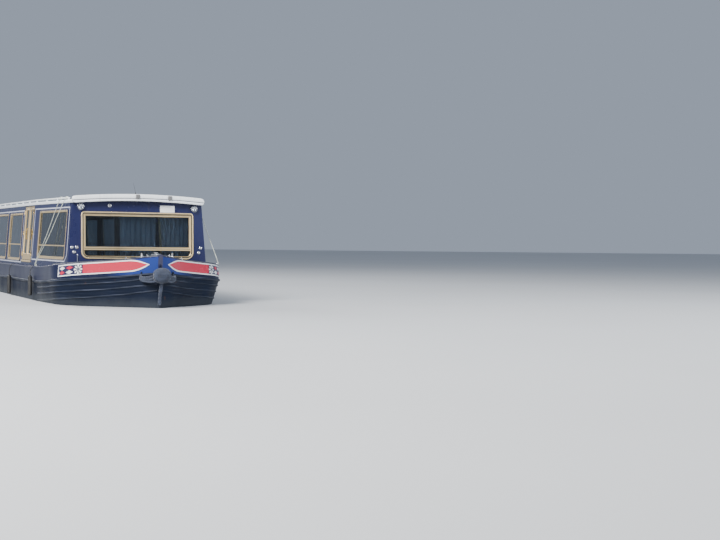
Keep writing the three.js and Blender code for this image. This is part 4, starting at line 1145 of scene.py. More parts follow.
@dataclass
class BowBoards:
    """The painted boards on both bows: a white edge, a red field, diamonds and a roundel.

    The name that such a board may carry is left out, so the field is bare. Places on a board are
    a way along its middle line from the aft end and a height over that line.
    """

    aft: Flat = (6.97, 1.253)
    tip: Flat = (8.333, 1.4185)
    split: float = 0.62
    half: float = 0.111
    edge: float = 0.022
    nose: float = 0.41
    samples: int = 120
    columns: int = 56
    edge_lift: float = 0.012
    field_lift: float = 0.0138
    motif_lift: float = 0.0155
    motif_thick: float = 0.003
    diamond_columns: Profile = ((0.128, 0.076), (0.322, 0.09))
    diamond_rise: float = 0.042
    diamond_tall: float = 0.037
    corner: Profile = mm((22, -80), (58, -41), (22, -2))
    roundel_s: float = 0.522
    roundel_radius: float = 0.092
    petal: Profile = ((0.16, 0.0), (0.55, -0.2), (0.9, -0.235), (1.0, 0.0), (0.9, 0.235), (0.55, 0.2))

    def __post_init__(self) -> None:
        """Measures the middle line of the board along the bow."""
        self.along = [0.0]
        step = (self.tip[0] - self.aft[0]) / self.samples
        self.xs = [self.aft[0] + step * k for k in range(self.samples + 1)]
        spots = [LINES.skin_point(x, self.middle(x))[0] for x in self.xs]
        for a, b in zip(spots, spots[1:]):
            self.along.append(self.along[-1] + (b - a).length)

    @property
    def length(self) -> float:
        """The length of the board along the bow."""
        return self.along[-1]

    def middle(self, x: float) -> float:
        """The height of the board's middle line."""
        share = (x - self.aft[0]) / (self.tip[0] - self.aft[0])
        return self.aft[1] + (self.tip[1] - self.aft[1]) * share

    def point(self, s: float, h: float, lift: float, side: Side) -> Vector:
        """A point at a way along the board and a height over its middle line, lifted off the bow."""
        i = next((k for k in range(1, len(self.along)) if self.along[k] >= s), len(self.along) - 1)
        share = (s - self.along[i - 1]) / (self.along[i] - self.along[i - 1])
        x = self.xs[i - 1] + (self.xs[i] - self.xs[i - 1]) * share
        spot, out = LINES.skin_point(x, self.middle(x) + h)
        return side.at(*(spot + out * lift))

    def reach(self, s: float, inset: float) -> float:
        """Half the board's height at a way along it, less an inset."""
        full = self.half - inset
        start = self.length - inset * 1.8 - self.nose
        share = min(1.0, max(0.0, (s - start) / self.nose))
        return max(full * (1 - share**2) ** 1.05, 0.0005)

    def skin(self, rows: Sequence[tuple[float, Line]], lift: float, thick: float, side: Side) -> Shape:
        """A closed thin sheet that follows the bow.

        Args:
            rows: Ways along the board, each with its heights from low to high.
            lift: How far the face stands off the bow.
            thick: The sheet's thickness.
            side: The side of the boat.

        Returns:
            The sheet.
        """
        made = []
        for s, heights in rows:
            face = [self.point(s, h, lift, side) for h in heights]
            back = [self.point(s, h, lift - thick, side) for h in reversed(heights)]
            made.append(face + back)
        return grid(made, wrap=True, caps=True)

    def panel(self, first: float, last: float, inset: float, lift: float, side: Side) -> Shape:
        """The board's area between two places."""
        rows = []
        for k in range(self.columns + 1):
            s = first + (last - first) * k / self.columns
            high = self.reach(s, inset)
            rows.append((s, [high * t for t in (-1, -0.5, 0, 0.5, 1)]))
        return self.skin(rows, lift, 0.004, side)

    def diamond(self, s: float, h: float, wide: float, side: Side) -> Shape:
        """One diamond."""
        rows = []
        for k in range(17):
            t = -1 + k / 8
            high = max(self.diamond_tall * (1 - abs(t)), 0.0004)
            rows.append((s + wide * t, [h + high * u for u in (-1, 0, 1)]))
        return self.skin(rows, self.motif_lift, self.motif_thick, side)

    def patch(self, outline: Sequence[Flat], side: Side, lift: float) -> Shape:
        """A flat shape with the given outline."""
        levels = (lift - self.motif_thick, lift)
        return grid([[self.point(s, h, z, side) for s, h in outline] for z in levels], wrap=True, caps=True)

    def diamonds(self, side: Side) -> tuple[Shape, Shape]:
        """The white and the red diamonds of the aft end."""
        white, red = Shape(), Shape()
        for column, (s, wide) in enumerate(self.diamond_columns):
            for row in (-1, 1):
                target = white if (column == 0) == (row > 0) else red
                target.add(self.diamond(s, row * self.diamond_rise, wide, side))
        return white.add(self.patch(self.corner, side, self.motif_lift)), red

    def roundel(self, side: Side) -> Shape:
        """Eight petals around a small gap."""
        shape = Shape()
        size = self.roundel_radius
        for k in range(8):
            a = pi * k / 4
            outline = []
            for r, da in self.petal:
                turn = a + da
                outline.append((self.roundel_s + size * r * cos(turn), size * r * sin(turn)))
            shape.add(self.patch(outline, side, self.motif_lift + 0.0003))
        return shape

    def build(self) -> None:
        """Builds both boards."""
        layers = (
            ("edge", 0.0, self.length, 0.0, self.edge_lift, BOARD_WHITE),
            ("field", self.split, self.length - self.edge * 1.8, self.edge, self.field_lift, BOARD_RED),
            ("end", self.edge, self.split, self.edge, self.field_lift, BOARD_NAVY),
        )
        for side in Side:
            for part, first, last, inset, lift, finish in layers:
                finished(f"board_{part}_{side.word}", self.panel(first, last, inset, lift, side), finish)
            white, red = self.diamonds(side)
            finished("board_white_diamonds_" + side.word, white.add(self.roundel(side)), BOARD_WHITE)
            finished("board_red_diamonds_" + side.word, red, BOARD_RED)


# The cabin


@dataclass(frozen=True)
class CabinPlanes:
    """The leaning planes of the cabin's walls, with depth outwards."""

    knuckle: float = 3.91
    half: float = 1.588
    front_half: float = 1.396
    front_x: float = 6.8
    foot_z: float = 1.29
    front_foot_z: float = 1.406
    lean: float = 96 / 1346
    rake: float = 0.0577

    @property
    def slope(self) -> float:
        """How the fore part of the cabin narrows."""
        return (self.front_half - self.half) / (self.front_x - self.knuckle)

    def side(self, side: Side, fore: bool = False) -> Matrix:
        """The plane of a side wall, drawn in X and Z."""
        along = side.at(1, self.slope if fore else 0, 0)
        up = side.at(0, -self.lean, 1)
        out = along.cross(up).normalized()
        out = -out if out.y * side.value < 0 else out
        start = side.at(self.knuckle, self.half, self.foot_z) - along * self.knuckle - up * self.foot_z
        return self.matrix(along, up, out, start)

    def front(self) -> Matrix:
        """The plane of the front wall, drawn in Y and Z."""
        out = Vector((1, 0, self.rake)).normalized()
        start = Vector((self.front_x + self.rake * self.front_foot_z, 0, 0))
        return self.matrix(Vector((0, 1, 0)), Vector((-self.rake, 0, 1)), out, start)

    @staticmethod
    def matrix(along: Vector, up: Vector, out: Vector, start: Vector) -> Matrix:
        """A matrix from three directions and an origin."""
        made = Matrix((along, up, out)).transposed().to_4x4()
        made.translation = start
        return made

    def half_at(self, x: float, z: float) -> float:
        """Half the cabin's outer width."""
        flat = self.half + (self.slope * (x - self.knuckle) if x > self.knuckle else 0)
        return flat - self.lean * (z - self.foot_z)


PLANES = CabinPlanes()

# Windows as first x, last x, foot and head.
FORE_WINDOW = (4.44, 6.5, 1.5, 2.41)
AFT_WINDOWS = tuple((x, x + 1.58, 1.42, 2.4) for x in (0.97, -0.96, -2.89, -4.82))


def screw_head(radius: float) -> Shape:
    """A small domed screw head."""
    return turned([(radius, -0.001), (radius, 0.0006), (radius * 0.6, 0.0022), (0.0004, 0.0028)], sides=8)


@dataclass
class Windows:
    """The gold frames, sash bars and screws of all windows.

    A section gives offsets outwards from the window's edge and heights over the wall.
    """

    flange: Profile = mm(
        (-4, -13.8), (-4, 7), (0, 10.5), (8, 11.5), (22, 11.5), (28, 10.5), (31, 8.8), (31, -1), (10, -1),
    )
    rim: Profile = mm((29, -1), (29, 9), (43, 9.4), (48, 7), (50, 3), (50, -1))
    gasket: Profile = mm((-16, -13.8), (-16, -10), (-12, -8), (-6, -7.5), (-3, -9), (-3, -13.8))
    front_flange: Profile = mm(
        (-10, -13.8), (-10, 12), (-4, 17), (-1, 17.2), (1, 15), (1, 7), (24, 7), (24, 15), (27, 16.5),
        (40, 17.2), (47, 14), (49, 6), (49, -1), (20, -1),
    )
    # A dark strip in the front frame's groove, between its two gold ridges: painted shadow in the recess.
    groove: Profile = mm((0.5, 6.5), (0.5, 8.5), (12.5, 10), (24.5, 8.5), (24.5, 6.5), (12.5, 6))
    sash: Profile = mm((-15, -13.8), (-15, 2), (-10, 8), (9, 8), (14, 3), (14, -13.8))
    seal: Profile = mm((-26, -13.8), (-26, -5), (-21, -3), (-14, -3), (-14, -13.8))
    glass_depth: float = -0.0138
    bar_z: float = 1.74
    front: tuple[float, float, float, float] = (-1.078, 1.078, 1.54, 2.368)
    front_bar_z: float = 1.678
    sash_foot: float = 1.714

    def one(self, window: Point, plane: Matrix, shapes: dict[str, Shape], screws: PathRow) -> None:
        """Adds one window's frame, painted rim, gasket and screws.

        Args:
            window: First x, last x, foot and head.
            plane: The wall's plane.
            shapes: The shapes that take the frame, the rim and the gasket in.
            screws: The row that takes the screws' path in.
        """
        x0, x1, z0, z1 = window
        outline = rounded(x0, x1, z0, z1, 0.06, 0.012)
        for key, section in (("frames", self.flange), ("rims", self.rim), ("gaskets", self.gasket)):
            shapes[key].add(moulding(outline, section).placed(plane))
        sill = crowned_bar((x0 + 0.03, z0 - 0.006), (x1 - 0.03, z0 - 0.006), 0.024, self.glass_depth, 0.0125)
        transom = crowned_bar((x0, self.bar_z), (x1, self.bar_z), 0.011, self.glass_depth, 0.003)
        shapes["frames"].add(sill.placed(plane), transom.placed(plane))
        screws.on_plane(plane, rounded(x0 - 0.015, x1 + 0.015, z0 - 0.015, z1 + 0.015, 0.075, 0.027), 0.0113)

    def side_windows(self) -> None:
        """Builds the frames of both sides."""
        for side in Side:
            shapes = {"frames": Shape(), "rims": Shape(), "gaskets": Shape()}
            screws = PathRow("window_screws_" + side.word, BRASS, screw_head(0.0045), 0.16, turn=3.1)
            self.one(FORE_WINDOW, PLANES.side(side, True), shapes, screws)
            for window in AFT_WINDOWS:
                self.one(window, PLANES.side(side), shapes, screws)
            for (key, shape), finish in zip(shapes.items(), (GOLD, NAVY, BLACK_RUBBER)):
                finished(f"window_{key}_{side.word}", shape, finish, angle=30)
            screws.build()

    def front_window(self) -> None:
        """Builds the front frame with its upper sash."""
        plane = PLANES.front()
        x0, x1, z0, z1 = self.front
        outline = rounded(x0, x1, z0, z1, 0.09, 0.014)
        upper = rounded(x0 + 0.022, x1 - 0.022, self.sash_foot, z1 - 0.022, 0.01, 0.01, 3)
        bar = crowned_bar((x0, self.front_bar_z), (x1, self.front_bar_z), 0.015, self.glass_depth, 0.01)
        frame = moulding(outline, self.front_flange).add(moulding(upper, self.sash), bar).placed(plane)
        finished("front_window_moulding", frame, GOLD, replaces=["front_window_frame"], angle=30)
        # The dark strip in the groove is painted shadow; it shares the rubber finish with the upper sash's
        # seal.
        seal = moulding(outline, self.groove).add(moulding(upper, self.seal))
        finished("front_window_seals", seal.placed(plane), BLACK_RUBBER, angle=30)
        screws = PathRow("front_window_screws", BRASS, screw_head(0.006), 0.15, turn=3.1)
        screws.on_plane(plane, rounded(x0 - 0.036, x1 + 0.036, z0 - 0.036, z1 + 0.036, 0.126, 0.05), 0.0162)
        screws.build()

    def build(self) -> None:
        """Builds all windows."""
        self.side_windows()
        self.front_window()
        sides = [f"side_glass_{part}_{side.word}" for part in ("fore", "aft") for side in Side]
        repaint(GLASS, "front_glass", *sides)


@dataclass
class CoachLines:
    """The pale painted lines around the panels of the cabin's sides."""

    wide: float = 0.011
    fore: Profile = ((3.98, 1.435), (6.53, 1.435), (6.675, 1.56), (6.645, 2.492), (3.98, 2.492))
    aft: Profile = ((-5.86, 1.352), (2.7, 1.352), (2.7, 2.478), (-5.86, 2.478))

    def build(self) -> None:
        """Builds the lines as thin raised strips."""
        w = self.wide
        section = ((-w, -0.001), (-w, 0.0012), (w, 0.0012), (w, -0.001))
        for side in Side:
            shape = moulding(self.fore, section).placed(PLANES.side(side, True))
            shape.add(moulding(self.aft, section).placed(PLANES.side(side)))
            finished("coach_lines_" + side.word, shape, LINE_WHITE)


@dataclass
class FrontDress:
    """Lamps, plate, fittings and pipe on the cabin's front, placed by Y and Z on its plane."""

    lamp_place: Flat = (1.139, 2.501)
    bowl: Profile = mm(
        (30, 0.5), (46, 4), (56, 22), (61, 50), (61.5, 58), (57, 60), (54, 55), (48, 40), (30, 26),
        (1, 22),
    )
    lens: Profile = mm((1, 46), (50, 47), (53, 50), (53.5, 55), (45, 58.5), (28, 61.5), (1, 63))
    vents: Profile = ((-1.303, 1.712), (-1.212, 1.713), (-1.261, 1.619), (1.281, 1.721), (1.241, 1.626))
    vent: Profile = mm((30, -1), (31, 4), (27, 7), (24, 9), (19, 16), (1, 21))
    eye_place: Flat = (-0.566, 2.539)
    eye: Profile = mm((34, -1), (34, 10), (24, 14), (20, 38), (12, 46), (1, 47))
    pipe: Profile = ((1.58, 0.0), (1.572, 0.02), (1.54, 0.022), (1.425, 0.022))
    pipe_y: float = -1.207

    def build(self) -> None:
        """Builds the front's small pieces."""
        plane = PLANES.front()
        out = facing(plane)
        for side in Side:
            place = plane @ Vector((side.value * self.lamp_place[0], self.lamp_place[1], 0))
            bowl, lens = (turned(profile, place, 40, out) for profile in (self.bowl, self.lens))
            finished("lamp_bowl_" + side.word, bowl, CHROME, replaces=["headlamp_" + side.word])
            finished("lamp_lens_" + side.word, lens, LENS)
        domes = Shape()
        for y, z in self.vents:
            domes.add(turned(self.vent, plane @ Vector((y, z, 0)), 28, out))
        domes.add(turned(self.eye, plane @ Vector((*self.eye_place, 0)), 24, out))
        finished("front_fittings", domes, CHROME)
        card = block((0.449, 2.422, 0.0), (0.745, 2.56, 0.006), 0.002)
        finished("front_plate", card.placed(plane), BOARD_WHITE)
        pipe = curve_through([plane @ Vector((self.pipe_y, z, depth)) for z, depth in self.pipe], 5)
        finished("front_cable_pipe", tube(pipe, 0.007, 10), CHROME)
        repaint(NAVY, "cabin_front")


@dataclass
class Roof:
    """The cambered roof with its visor, rails, hatch runners and fittings."""

    edge_z: float = 2.58
    top_z: float = 2.636
    camber: float = 0.094
    lip: float = 0.014
    rear_x: float = -6.14
    front_x: float = 6.8
    hole: Spot = (-6.05, -5.36, 0.38)
    parts: int = 12
    runner_y: float = 0.425
    runner_half: float = 1.5
    visor_foot: float = 2.575
    visor_crown: float = 0.06
    visor_tall: float = 0.136
    visor_ease: float = 0.048
    visor_end: float = 0.07
    rail_z: float = 2.682
    rail_stations: tuple[float, ...] = (-5.9, -5.85, PLANES.knuckle, 6.45, 6.5)
    lamps: Profile = ((-0.034, 2.722), (0.614, 2.708))
    whip: Places = (
        (6.835, -0.075, 2.795), (6.835, -0.095, 2.885), (6.835, -0.12, 2.983),
    )
    whip_base: Profile = mm((13.2, -0.2), (13.2, 12), (9, 18), (5.5, 30), (4, 34))
    vent_stations: tuple[float, ...] = (5.2, 2.2, -0.8, -3.8)
    vent: Profile = mm((45, -4), (45, 12), (36, 18), (34, 38), (80, 42), (82, 50), (60, 64), (1, 70))
    hatch_ends: Flat = (-6.13, -5.3)
    hatch_half: float = 0.45
    grip: Profile = mm((-100, 30), (-95, 60), (0, 66), (95, 60), (100, 30))

    def half(self, x: float) -> float:
        """Half the roof's width."""
        return PLANES.half_at(x, self.edge_z) + self.lip

    def height(self, x: float, y: float) -> float:
        """The height of the roof's top."""
        return self.top_z + self.camber * (1 - (y / self.half(x)) ** 2)

    @property
    def runner_z(self) -> float:
        """The height of the roof's top under the hatch runners."""
        return self.top_z + self.camber * (1 - (self.runner_y / self.runner_half) ** 2)

    def skin(self) -> None:
        """The roof's plate, with the opening under the sliding hatch."""
        x0, x1, inner = self.hole
        stations = [self.rear_x, x0, x1, -3.0, -1.0, 1.0, 3.0, PLANES.knuckle, 5.4, self.front_x]
        shares = [k / self.parts for k in range(self.parts + 1)]
        bm = bmesh.new()
        rows = []
        for x in stations:
            outer = self.half(x)
            ys = [-outer + (outer - inner) * t for t in shares] + [inner * (2 * t - 1) for t in shares[1:-1]]
            ys += [inner + (outer - inner) * t for t in shares]
            rows.append([bm.verts.new((x, y, self.height(x, y))) for y in ys])
        for i, (near, far) in enumerate(zip(rows, rows[1:])):
            for j in range(3 * self.parts):
                if i != 1 or not self.parts <= j < 2 * self.parts:
                    bm.faces.new((near[j], far[j], far[j + 1], near[j + 1]))
        made = bmesh.ops.extrude_face_region(bm, geom=bm.faces[:])
        for v in made["geom"]:
            if isinstance(v, bmesh.types.BMVert):
                v.co.z -= self.top_z - self.edge_z
        bmesh.ops.recalc_face_normals(bm, faces=bm.faces[:])
        mesh = bpy.data.meshes.new("roof_skin")
        bm.to_mesh(mesh)
        bm.free()
        piece = finished("roof_skin", mesh, WHITE, replaces=["roof"])
        bevel = piece.modifiers.new("edges", "BEVEL")
        bevel.width, bevel.segments = 0.012, 3
        bevel.limit_method, bevel.angle_limit = "ANGLE", radians(50)

    def runners(self) -> None:
        """The two runners of the sliding hatch."""
        shape, z = Shape(), self.runner_z
        for side in Side:
            low = side.at(self.rear_x + 0.01, self.runner_y - 0.015, z - 0.028)
            shape.add(block(low, side.at(-4.52, self.runner_y + 0.015, z + 0.018)))
        finished("hatch_runners", shape, WHITE)

    def band(self, low: float, high: float, reach: float) -> Shape:
        """One band across the roof's front.

        Args:
            low: Its lower edge over the visor's foot.
            high: Its upper edge over the visor's foot.
            reach: How far it stands off the front.

        Returns:
            The band, which is drawn in towards the visor's middle at both ends.
        """
        half = self.half(self.front_x)
        steps = 48
        rows = []
        for k in range(steps + 1):
            y = -half * cos(pi * k / steps)
            gone = max(0.0, abs(y) - (half - self.visor_end)) / self.visor_end
            ease = self.visor_ease * (1 - sqrt(max(0.0, 1 - gone**2)))
            foot = self.visor_foot + self.visor_crown * (1 - (y / half) ** 2)
            z0, z1 = (foot + min(max(v, ease), self.visor_tall - ease) for v in (low, high))
            z1 = max(z1, z0 + 0.004)
            x0, x1 = self.front_x - 0.01, self.front_x + reach
            r = min(0.014, (z1 - z0) * 0.4)
            section = [(x0, z0), (x1 - r, z0), (x1 - r * 0.3, z0 + r * 0.3), (x1, z0 + r), (x1, z1 - r)]
            section += [(x1 - r * 0.3, z1 - r * 0.3), (x1 - r, z1), (x0, z1)]
            rows.append([Vector((x, y, z)) for x, z in section])
        return grid(rows, wrap=True, caps=True)

    def visor(self) -> None:
        """The two white bands across the roof's front, with a dark line between them."""
        finished("visor_upper_band", self.band(0.054, self.visor_tall, 0.07), WHITE)
        finished("visor_groove", self.band(0.04, 0.058, 0.06), NAVY)
        finished("visor_lower_band", self.band(0.0, 0.046, 0.067), WHITE)

    def rails(self) -> None:
        """The hand rails with their brackets."""
        foot = self.top_z - self.rail_z + 0.006
        profile = [(0.026, foot), (0.026, foot + 0.005), (0.012, foot + 0.01)]
        profile += [(0.009, -0.01), (0.009, 0.004)]
        half = [PLANES.half_at(x, self.edge_z) - 0.02 for x in self.rail_stations]
        for side in Side:
            line = [side.at(x, y, self.rail_z) for x, y in zip(self.rail_stations, half)]
            for end in (line[0], line[-1]):
                end.z -= 0.01
            bar = tube(line, 0.0145, 16)
            finished("hand_rail_" + side.word, bar, WHITE, replaces=["roof_rail_" + side.word])
            brackets = PathRow("rail_brackets_" + side.word, WHITE, turned(profile, sides=12), 0.82)
            brackets.paths.append((line[1:4], UP))
            brackets.build()

    def fittings(self) -> None:
        """The lamps on the visor, the whip aerial and a row of mushroom vents."""
        lamps = Shape()
        x = self.front_x + 0.066
        for y, z in self.lamps:
            lamps.add(block((x - 0.03, y - 0.04, z - 0.044), (x + 0.026, y + 0.04, z + 0.04), 0.012, 3))
        finished("visor_lamps", lamps, FENDER_GREY)
        whip = turned(self.whip_base, (*self.whip[0][:2], 2.7709), 20)
        whip.add(tube(self.whip, [0.0034, 0.0026, 0.0018], 10))
        finished("whip_aerial", whip, BLACK_RUBBER, replaces=["aerial"])
        caps = Shape()
        for x in self.vent_stations:
            caps.add(turned(self.vent, (x, 0, self.height(x, 0)), 36))
        finished("roof_vents", caps, BRASS)

    def hatch(self) -> None:
        """The sliding hatch with its grip."""
        z = self.runner_z + 0.0183
        x0, x1 = self.hatch_ends
        rows = []
        for k in range(13):
            y = -self.hatch_half + 2 * self.hatch_half * k / 12
            crown = z + 0.01 * (1 - (y / self.hatch_half) ** 2)
            edge, top = crown + 0.018, crown + 0.0255
            section = [(x0, z), (x0, edge), (x0 + 0.008, top), (x1 - 0.008, top), (x1, edge), (x1, z)]
            rows.append([Vector((x, y, h)) for x, h in section])
        lid = grid(rows, wrap=True, caps=True)
        for side in Side:
            low = side.at(x0 + 0.006, self.hatch_half - 0.009, z - 0.01)
            lid.add(block(low, side.at(x1 - 0.006, self.hatch_half - 0.001, z + 0.01), 0.001, 1))
        finished("hatch_lid", lid, NAVY, "sliding_hatch", ["sliding_hatch"])
        grip = curve_through([(x0 + 0.07, y, z + high) for y, high in self.grip], 5)
        finished("hatch_grip", tube(grip, 0.007, 10), BRASS, "sliding_hatch")

    def build(self) -> None:
        """Builds the roof."""
        self.skin()
        self.runners()
        self.visor()
        self.rails()
        self.fittings()
        self.hatch()


@dataclass
class SideDoors:
    """The glazed double doors in each side."""

    x0: float = 2.8
    x1: float = 3.88
    z0: float = 1.41
    z1: float = 2.565
    gap: float = 0.007
    rail: float = 0.06
    lap: float = 0.01
    bead: Profile = mm((-12, -30), (-12, -10), (-6, -1), (10, 1), (16, -4), (16, -12))
    hinge_depth: float = 0.0083
    hinge: Profile = mm((-45, 8.2), (-16, 8.2), (-14, 7), (14, 7), (16, 8.2), (45, 8.2))
    grip: Profile = (
        (1.86, -0.004), (1.86, 0.026), (1.88, 0.034), (2.06, 0.034), (2.08, 0.026), (2.08, -0.004),
    )

    def leaf(self, which: str, side: Side) -> None:
        """One leaf, with its frame, bead, glass, handle and hinges."""
        middle = (self.x0 + self.x1) / 2
        aft = which == "aft"
        a = self.x0 + self.gap if aft else middle + self.gap / 2
        b = middle - self.gap / 2 if aft else self.x1 - self.gap
        low, high, r = self.z0 + self.gap, self.z1 - self.gap, self.rail
        plane = PLANES.side(side)
        name = f"side_door_{which}_{side.word}"
        pane = rounded(a + r, b - r, low + 2 * r, high - r, 0.02, 0.02, 4)
        stile = plate(rectangle(a, b, low, high), -0.043, -0.003, [pane])
        stile.add(moulding(pane, self.bead))
        finished(name + "_frame", stile.placed(plane), GOLD, name, [name], 30)
        r -= self.lap
        glass = plate(rectangle(a + r, b - r, low + 2 * self.rail - self.lap, high - r), -0.027, -0.019)
        finished(name + "_pane", glass.placed(plane), GLASS, name)
        metal = Shape()
        edge, strap = (a - self.gap, 0.036) if aft else (b + self.gap, -0.036)
        for z in (low + 0.12, (low + high) / 2, high - 0.12):
            spots = [plane @ Vector((edge, z + dz, self.hinge_depth)) for dz, _ in self.hinge]
            metal.add(tube(spots, [radius for _, radius in self.hinge], 14))
            wing = block((edge, z - 0.04, -0.005), (edge + strap, z + 0.04, 0.0102), 0.0015, 1)
            metal.add(wing.placed(plane))
        handle_x = b - 0.03 if aft else a + 0.03
        grip = [plane @ Vector((handle_x, z, depth)) for z, depth in self.grip]
        metal.add(tube(curve_through(grip, 4), 0.006, 10))
        finished(name + "_metal", metal, BRASS, name)

    def build(self) -> None:
        """Builds all four leaves, and the sill under each pair."""
        low = self.z0 - 0.024
        for side in Side:
            for which in ("aft", "fore"):
                self.leaf(which, side)
            sill = crowned_bar((self.x0 - 0.016, low), (self.x1 + 0.016, low), 0.018, -0.002, 0.014)
            finished("door_sill_" + side.word, sill.placed(PLANES.side(side)), GOLD)


@dataclass
class RearDoors:
    """The aft bulkhead's boarded doors."""

    half: float = 0.4
    z0: float = 1.337
    z1: float = 2.533
    back: float = -6.07
    boards: int = 4
    hinge_x: float = -6.0786
    hinge_heights: tuple[float, ...] = (1.5, 1.935, 2.37)
    knob_place: Flat = (0.06, 1.95)
    knob: Profile = mm((14, 0), (14, 4), (7, 10), (7, 18), (16, 26), (16, 34), (1, 40))

    def leaf(self, side: Side) -> None:
        """One leaf of upright boards with ledges, hinges and a knob."""
        name = "rear_door_" + side.word
        wood, metal = Shape(), Shape()
        inner, outer = 0.0035, self.half - 0.007
        wide = (outer - inner) / self.boards
        face, joint = self.back + 0.043, 0.0006
        for k in range(self.boards):
            low = side.at(self.back + 0.003, inner + wide * k + joint, self.z0)
            wood.add(block(low, side.at(face, inner + wide * (k + 1) - joint, self.z1)))
        for z in (self.z0 + 0.1, (self.z0 + self.z1) / 2, self.z1 - 0.1):
            low = side.at(face, inner + 0.02, z - 0.045)
            wood.add(block(low, side.at(face + 0.013, outer - 0.02, z + 0.045)))
        finished(name + "_boards", wood, DOOR_WOOD, name, [name])
        x = self.hinge_x
        for z in self.hinge_heights:
            metal.add(tube([side.at(x, self.half, z + end) for end in (-0.045, 0.045)], 0.0082, 14))
            low = side.at(x - 0.002, self.half - 0.16, z - 0.016)
            metal.add(block(low, side.at(x + 0.012, self.half, z + 0.016), 0.0015, 1))
        metal.add(turned(self.knob, side.at(self.back + 0.003, *self.knob_place), 20, (-1, 0, 0)))
        finished(name + "_metal", metal, BRASS, name)

    def build(self) -> None:
        """Builds both leaves."""
        for side in Side:
            self.leaf(side)
        repaint(NAVY, "rear_bulkhead")


@dataclass
class Curtains:
    """The curtains, gathered behind the windows, and their rods."""

    rod_z: float = 2.44
    rod_reach: float = 0.048
    deep: float = 0.024
    front_half: float = 1.08
    front_low: float = 1.47
    side_wide: float = 0.37
    rods: tuple[tuple[float, ...], ...] = (
        (4.34, 6.56, 4.36, 5.45, 6.54),
        (-4.92, 2.64, -4.9, -3.07, -1.13, 0.8, 2.62),
    )

    def cloth(
        self, name: str, a: Flat, b: Flat, low: float, folds: int, finish: Finish, node: str | None = None
    ) -> None:
        """One gathered curtain, as a sheet of its own.

        Args:
            name: The piece's name.
            a: One end in plan.
            b: The other end in plan.
            low: The height of its hem.
            folds: How many folds it hangs in.
            finish: The cloth.
            node: The CAD node that it stands for, or none.
        """
        start, end = Vector(a), Vector(b)
        along = (end - start).normalized()
        out = Vector((-along.y, along.x))
        columns, rows = folds * 14, 26
        top = self.rod_z + 0.012
        lines = []
        for r in range(rows + 1):
            drop = r / rows
            swell = self.deep * (0.55 + 0.45 * min(1.0, drop * 3))
            line = []
            for c in range(columns + 1):
                t = c / columns
                phase = 2 * pi * folds * t
                swing = swell * (sin(phase) + 0.22 * sin(2.3 * phase + 4 * drop + 1.0))
                drift = 0.012 * sin(phase * 0.5 + 2.2 * drop) * drop
                p = start + (end - start) * t + along * drift + out * (swing * 0.92)
                line.append(Vector((p.x, p.y, top + (low - top) * drop)))
            lines.append(line)
        half_way = lines[rows // 2]
        flat_width = sum((q - p).length for p, q in zip(half_way, half_way[1:]))
        mesh = grid(lines).mesh(name)
        layer = mesh.uv_layers.new(name="cloth")
        for loop in mesh.loops:
            r, c = divmod(loop.vertex_index, columns + 1)
            layer.data[loop.index].uv = (flat_width * c / columns, (top - low) * (1 - r / rows))
        made = finished(name, mesh, finish, replaces=[node] if node else [], angle=180)
        thick = made.modifiers.new("cloth", "SOLIDIFY")
        thick.thickness, thick.offset = 0.0012, 0.0

    def inner_half(self, x: float) -> float:
        """Half the width between the cabin's walls at the rods."""
        return PLANES.half_at(x, self.rod_z + 0.007) - 0.0705

    def build_rods(self, front_x: float) -> None:
        """Builds the rods of both sides and of the front, with the stubs that hold them."""
        shape = Shape()
        reach, z = self.rod_reach, self.rod_z
        for side in Side:
            for x0, x1, *stubs in self.rods:
                shape.add(tube([side.at(x, self.inner_half(x) - reach, z) for x in (x0, x1)], 0.009, 12))
                for x in stubs:
                    y = self.inner_half(x)
                    shape.add(tube([side.at(x, y - gap, z) for gap in (reach, 0.001)], 0.007, 8))
        shape.add(tube([(front_x, y, z) for y in (-self.front_half, self.front_half)], 0.009, 12))
        for y in (-1.06, 0.0, 1.06):
            shape.add(tube([(front_x, y, z), (front_x + 0.056, y, z)], 0.007, 8))
        finished("curtain_rods", shape, BRASS)

    def build(self) -> None:
        """Builds the rods and every curtain."""
        x = PLANES.front_x - PLANES.rake * (self.rod_z - PLANES.front_foot_z) - 0.0701 - 0.058
        self.build_rods(x)
        low = self.front_low
        self.cloth("front_curtain_port", (x, 0.52), (x, 1.06), low, 6, PALE_CLOTH, "curtain_front")
        self.cloth("front_curtain_middle", (x, -0.33), (x, 0.4), low, 7, PALE_CLOTH)
        for side in Side:
            windows = [("fore", FORE_WINDOW, f"curtain_fore_{side.word}")]
            windows += [(f"aft_{k}", w, f"curtains_aft_{side.word}") for k, w in enumerate(AFT_WINDOWS)]
            for key, window, node in windows:
                name = f"curtain_cloth_{key}_{side.word}"
                first = window[0] - 0.04
                rod = [(x, self.inner_half(x) - self.rod_reach) for x in (first, first + self.side_wide)]
                a, b = ((x, side.value * y) for x, y in rod)
                self.cloth(name, a, b, window[2] - 0.06, 5, BROWN_CLOTH, node)


# Deck gear, ropes and the stern


